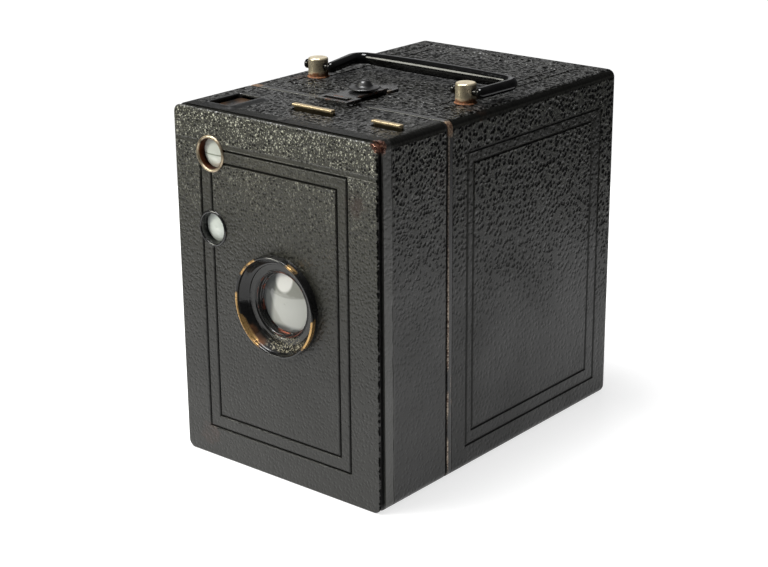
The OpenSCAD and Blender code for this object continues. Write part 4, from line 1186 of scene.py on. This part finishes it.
class BOXCAM_OT_lens_hood(bpy.types.Operator):
    """The lens hood: rolled rim, stepped funnel and threaded ring round the glass"""

    bl_idname = "box_camera.lens_hood"
    bl_label = "Lens Hood"

    def execute(self, context):
        place = facing_front(LENS_X, FRONT_Y, LENS_Z)
        turned("lens_hood_rim",
               [(15.75, 0.0), (15.62, 0.3), (15.55, 2.0), (15.68, 2.3), (15.62, 2.62), (15.35, 2.8),
                (15.05, 2.74), (14.82, 2.45), (14.72, 1.8), (14.1, 0.9), (13.5, 0.0), (13.15, -0.35),
                (12.75, -0.5), (12.6, -0.9), (10.9, -1.05), (10.6, -1.35), (10.4, -1.35), (10.4, -2.2),
                (13.2, -2.2), (13.2, -0.6), (14.2, 0.0)], place, "hood_enamel", "front_unit",
               ["lens_hood"], soft=0.00007)
        ring = [(10.38, -1.5), (10.25, -1.28), (10.05, -1.28), (9.9, -1.55), (9.85, -2.3), (9.6, -2.5),
                (9.55, -3.0)]
        for i in range(4):
            ring += [(9.32, -3.1 - 0.42 * i), (9.5, -3.3 - 0.42 * i)]
        ring += [(9.3, -4.8), (10.38, -4.8)]
        turned("lens_retaining_ring", ring, place, "ring_enamel", "front_unit", ["lens_ring"],
               soft=0.00003)
        return {"FINISHED"}


class BOXCAM_OT_finder_rings(bpy.types.Operator):
    """Both finder rings, the upper one worn to brass"""

    bl_idname = "box_camera.finder_rings"
    bl_label = "Finder Rings"

    def execute(self, context):
        for node, finish in (("upper_finder_ring", "dull_brass"), ("lower_finder_ring", "enamel")):
            spot = middle(node)
            outer = radius(node) / MM
            turned(node + "_rolled",
                   [(outer, -0.6), (outer, 0.08), (outer - 0.1, 0.32), (outer - 0.35, 0.5),
                    (outer - 0.62, 0.5), (outer - 0.84, 0.34), (outer - 0.94, 0.02), (outer - 0.98, -1.0),
                    (outer - 1.0, -2.4), (outer - 0.75, -2.4), (outer - 0.75, -0.7)],
                   facing_front(spot.x, FRONT_Y, spot.z), finish, "front_unit",
                   [node], soft=0.00006)
        return {"FINISHED"}


class BOXCAM_OT_window_frames(bpy.types.Operator):
    """The raised frames round both finder windows"""

    bl_idname = "box_camera.window_frames"
    bl_label = "Window Frames"

    def execute(self, context):
        edging(low_high=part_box("top_window_frame"), out=Z, across=X, along=Y, name="top_window_edging",
               nodes=["top_window_frame"])
        edging(low_high=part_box("side_window_frame"), out=-X, across=Y, along=-Z, name="side_window_edging",
               nodes=["side_window_frame"])
        return {"FINISHED"}


class BOXCAM_OT_strips(bpy.types.Operator):
    """The two brass strips with their bent lips"""

    bl_idname = "box_camera.strips"
    bl_label = "Brass Strips"

    def execute(self, context):
        for node in ("aperture_strip", "time_strip"):
            softened(node, "brass", width=0.00018, segments=3)
        return {"FINISHED"}


class BOXCAM_OT_latch(bpy.types.Operator):
    """The latch's strip, knob and foot"""

    bl_idname = "box_camera.latch"
    bl_label = "Latch"

    def execute(self, context):
        softened("latch_strip", "brown_enamel", width=0.00018, segments=3)
        softened("latch_foot", "worn_enamel", width=0.0002, segments=3)
        spot = middle("latch_knob")
        r = radius("latch_knob") / MM
        turned("latch_knob_turned", [
            (0.0, 0.0), (1.8, 0.0), (1.8, 0.5), (r - 0.3, 0.6), (r, 0.78), (r, 0.95), (r - 0.3, 1.12),
            (3.4, 1.25), (2.7, 1.45), (2.35, 1.85), (2.0, 2.5), (1.5, 3.0), (0.8, 3.25), (0.0, 3.3)],
            standing(spot.x, spot.y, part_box("latch_knob")[0].z), "edge_enamel", "latch",
            ["latch_knob"])
        return {"FINISHED"}


class BOXCAM_OT_posts(bpy.types.Operator):
    """The handle's two posts, with the hole for its axle"""

    bl_idname = "box_camera.posts"
    bl_label = "Handle Posts"

    def execute(self, context):
        for node in ("handle_post_left", "handle_post_right"):
            softened(node, "rusty_nickel", width=0.00022, segments=3)
            spot, r = middle(node), radius(node) / MM
            turned(node + "_foot_ring",
                   [(r - 0.1, 0.0), (r + 0.4, 0.0), (r + 0.3, 0.16), (r + 0.06, 0.34), (r - 0.1, 0.42)],
                   standing(spot.x, spot.y, TOP_Z), "rusty_nickel", "rear_body",
                   soft=0.00005)
        return {"FINISHED"}


class BOXCAM_OT_handle(bpy.types.Operator):
    """The bail's wire and its swelling grip"""

    bl_idname = "box_camera.handle"
    bl_label = "Handle"

    def execute(self, context):
        low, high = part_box("handle_grip")
        level, back = (low.z + high.z) / 2, (low.y + high.y) / 2
        pivot_y = middle("handle_post_left").y
        left_post, right_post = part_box("handle_post_left"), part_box("handle_post_right")
        gap, past_grip, bend = 2.3 * MM, 2.4 * MM, 4.2 * MM
        corners = [Vector((left_post[1].x + gap, pivot_y, level)), Vector((low.x - past_grip, back, level)),
                   Vector((high.x + past_grip, back, level)), Vector((right_post[1].x + gap, pivot_y, level))]
        path, radii = bail_path(corners, bend, 1.75 * MM, (high.z - low.z) / 2 + 0.1 * MM)
        swept("handle_bail", path, radii, Z, "handle_enamel", "handle",
              ["handle_wire", "handle_grip"])
        for name, post in (("handle_axle_left", left_post), ("handle_axle_right", right_post)):
            start = Vector((post[0].x - 1.6 * MM, pivot_y, level))
            length = (post[1].x + gap - start.x) / MM
            axle = [(0, 0), (1.5, 0), (1.5, 1.25), (1.12, 1.25), (1.12, length), (0, length)]
            turned(name, axle, Matrix.Translation(start) @ Matrix.Rotation(math.radians(90), 4, "Y"),
                   "handle_enamel", "handle", ["handle_wire"], soft=0.00025, segments=3,
                   steps=48)
        return {"FINISHED"}


class BOXCAM_OT_key(bpy.types.Operator):
    """The winding key and the release lever on the left side"""

    bl_idname = "box_camera.key"
    bl_label = "Winding Key"

    def execute(self, context):
        for node in ("key_shaft", "key_wing"):
            softened(node, "nickel", width=0.0002, segments=3)
        softened("release_lever", "nickel", width=0.00012)
        return {"FINISHED"}


class BOXCAM_OT_rivets(bpy.types.Operator):
    """The small rivet on the top of the front unit"""

    bl_idname = "box_camera.rivets"
    bl_label = "Rivets"

    def execute(self, context):
        dome = [(0.0, 0.0), (1.5, 0.0), (1.45, 0.16), (1.15, 0.32), (0.7, 0.42), (0.0, 0.45)]
        turned("front_rivet", dome, standing(0.0, behind_front(4.9), TOP_Z - 0.0001), "matt_black",
               "front_unit", steps=40, soft=0)
        return {"FINISHED"}


class BOXCAM_OT_stage(bpy.types.Operator):
    """The pale floor, the soft lights and the camera"""

    bl_idname = "box_camera.stage"
    bl_label = "Stage"

    def execute(self, context):
        stage = context.scene.box_camera_stage
        bm = bmesh.new()
        bmesh.ops.create_circle(bm, cap_ends=True, segments=96, radius=stage.floor_radius)
        mesh = mesh_of(bm, "floor")
        floor = placed("floor", mesh)
        s = Shader("Pale_Floor")
        s.set(Base_Color=(0.42, 0.42, 0.42), Roughness=0.5, Emission_Color=WHITE,
              Emission_Strength=0.74)
        mesh.materials.append(s.material)
        self.soft_box("Overhead_Soft_Box", (-0.2, -0.2, 1.15), (0.0, 0.0, 0.0), 0.5, stage.key_power)
        self.soft_box("Left_Soft_Box", (-0.75, -0.8, 0.62), (0.0, 0.0, 0.06), 0.4, stage.fill_power,
                      (1.0, 0.99, 0.88))
        self.soft_box("Backdrop_Soft_Box", (-0.85, 1.05, 0.54), (0.0, 0.0, 0.1), 0.6, stage.back_power)
        self.surroundings()
        view = bpy.data.cameras.new("View")
        view.lens = stage.lens
        view.sensor_width = 36.0
        view.clip_start = 0.01
        camera = placed("View", view)
        camera.matrix_world = (
            Matrix.Translation(VIEW_PLACE) @ Matrix.Rotation(stage.turn, 4, "Z")
            @ Matrix.Rotation(stage.tilt, 4, "X") @ Matrix.Rotation(stage.roll, 4, "Z"))
        context.scene.camera = camera
        context.scene.view_settings.view_transform = "Standard"
        return {"FINISHED"}

    def soft_box(self, name, place, aim, width, power, colour=WHITE):
        light = bpy.data.lights.new(name, "AREA")
        light.shape = "SQUARE"
        light.size = width
        light.energy = power
        light.color = colour
        lamp = placed(name, light)
        lamp.location = place
        lamp.rotation_euler = (Vector(aim) - Vector(place)).to_track_quat("-Z", "Y").to_euler()

    def surroundings(self):
        """White where the camera looks, and a dimmer studio in the reflections."""
        world = bpy.data.worlds.new("Studio")
        bpy.context.scene.world = world
        world.use_nodes = True
        tree = world.node_tree
        tree.nodes.clear()
        seen, either, out = (tree.nodes.new("ShaderNode" + kind)
                             for kind in ("LightPath", "MixShader", "OutputWorld"))
        tree.links.new(seen.outputs["Is Camera Ray"], either.inputs[0])
        for i, colour, strength in ((1, (0.95, 0.97, 1.0), 0.07), (2, WHITE, 1.05)):
            glow = tree.nodes.new("ShaderNodeBackground")
            glow.inputs["Color"].default_value = (*colour, 1.0)
            glow.inputs["Strength"].default_value = strength
            tree.links.new(glow.outputs[0], either.inputs[i])
        tree.links.new(either.outputs[0], out.inputs["Surface"])


STEPS = (
    BOXCAM_OT_finishes,
    BOXCAM_OT_stage,
    BOXCAM_OT_carried_nodes,
    BOXCAM_OT_front_panel,
    BOXCAM_OT_back_panel,
    BOXCAM_OT_shell_cover,
    BOXCAM_OT_rim,
    BOXCAM_OT_lens_hood,
    BOXCAM_OT_finder_rings,
    BOXCAM_OT_window_frames,
    BOXCAM_OT_strips,
    BOXCAM_OT_latch,
    BOXCAM_OT_posts,
    BOXCAM_OT_handle,
    BOXCAM_OT_key,
    BOXCAM_OT_rivets,
)


class BOXCAM_PT_panel(bpy.types.Panel):
    """Lists the camera's sizes, colours and pieces"""

    bl_idname = "BOXCAM_PT_panel"
    bl_label = "Box Camera"
    bl_space_type = "VIEW_3D"
    bl_region_type = "UI"
    bl_category = "Box Camera"

    def draw(self, context):
        for group in (context.scene.box_camera_sizes, context.scene.box_camera_colours,
                      context.scene.box_camera_stage):
            column = self.layout.column(align=True)
            for name in group.__annotations__:
                column.prop(group, name)
        for step in STEPS:
            self.layout.operator(step.bl_idname)


CLASSES = (BoxCameraSizes, BoxCameraColours, BoxCameraStage, *STEPS, BOXCAM_PT_panel)


def register():
    for cls in CLASSES:
        bpy.utils.register_class(cls)
    bpy.types.Scene.box_camera_sizes = PointerProperty(type=BoxCameraSizes)
    bpy.types.Scene.box_camera_colours = PointerProperty(type=BoxCameraColours)
    bpy.types.Scene.box_camera_stage = PointerProperty(type=BoxCameraStage)


def unregister():
    del bpy.types.Scene.box_camera_stage
    del bpy.types.Scene.box_camera_colours
    del bpy.types.Scene.box_camera_sizes
    for cls in reversed(CLASSES):
        bpy.utils.unregister_class(cls)


def main():
    register()
    for step in STEPS:
        group, name = step.bl_idname.split(".")
        getattr(getattr(bpy.ops, group), name)()


if __name__ == "__main__":
    main()
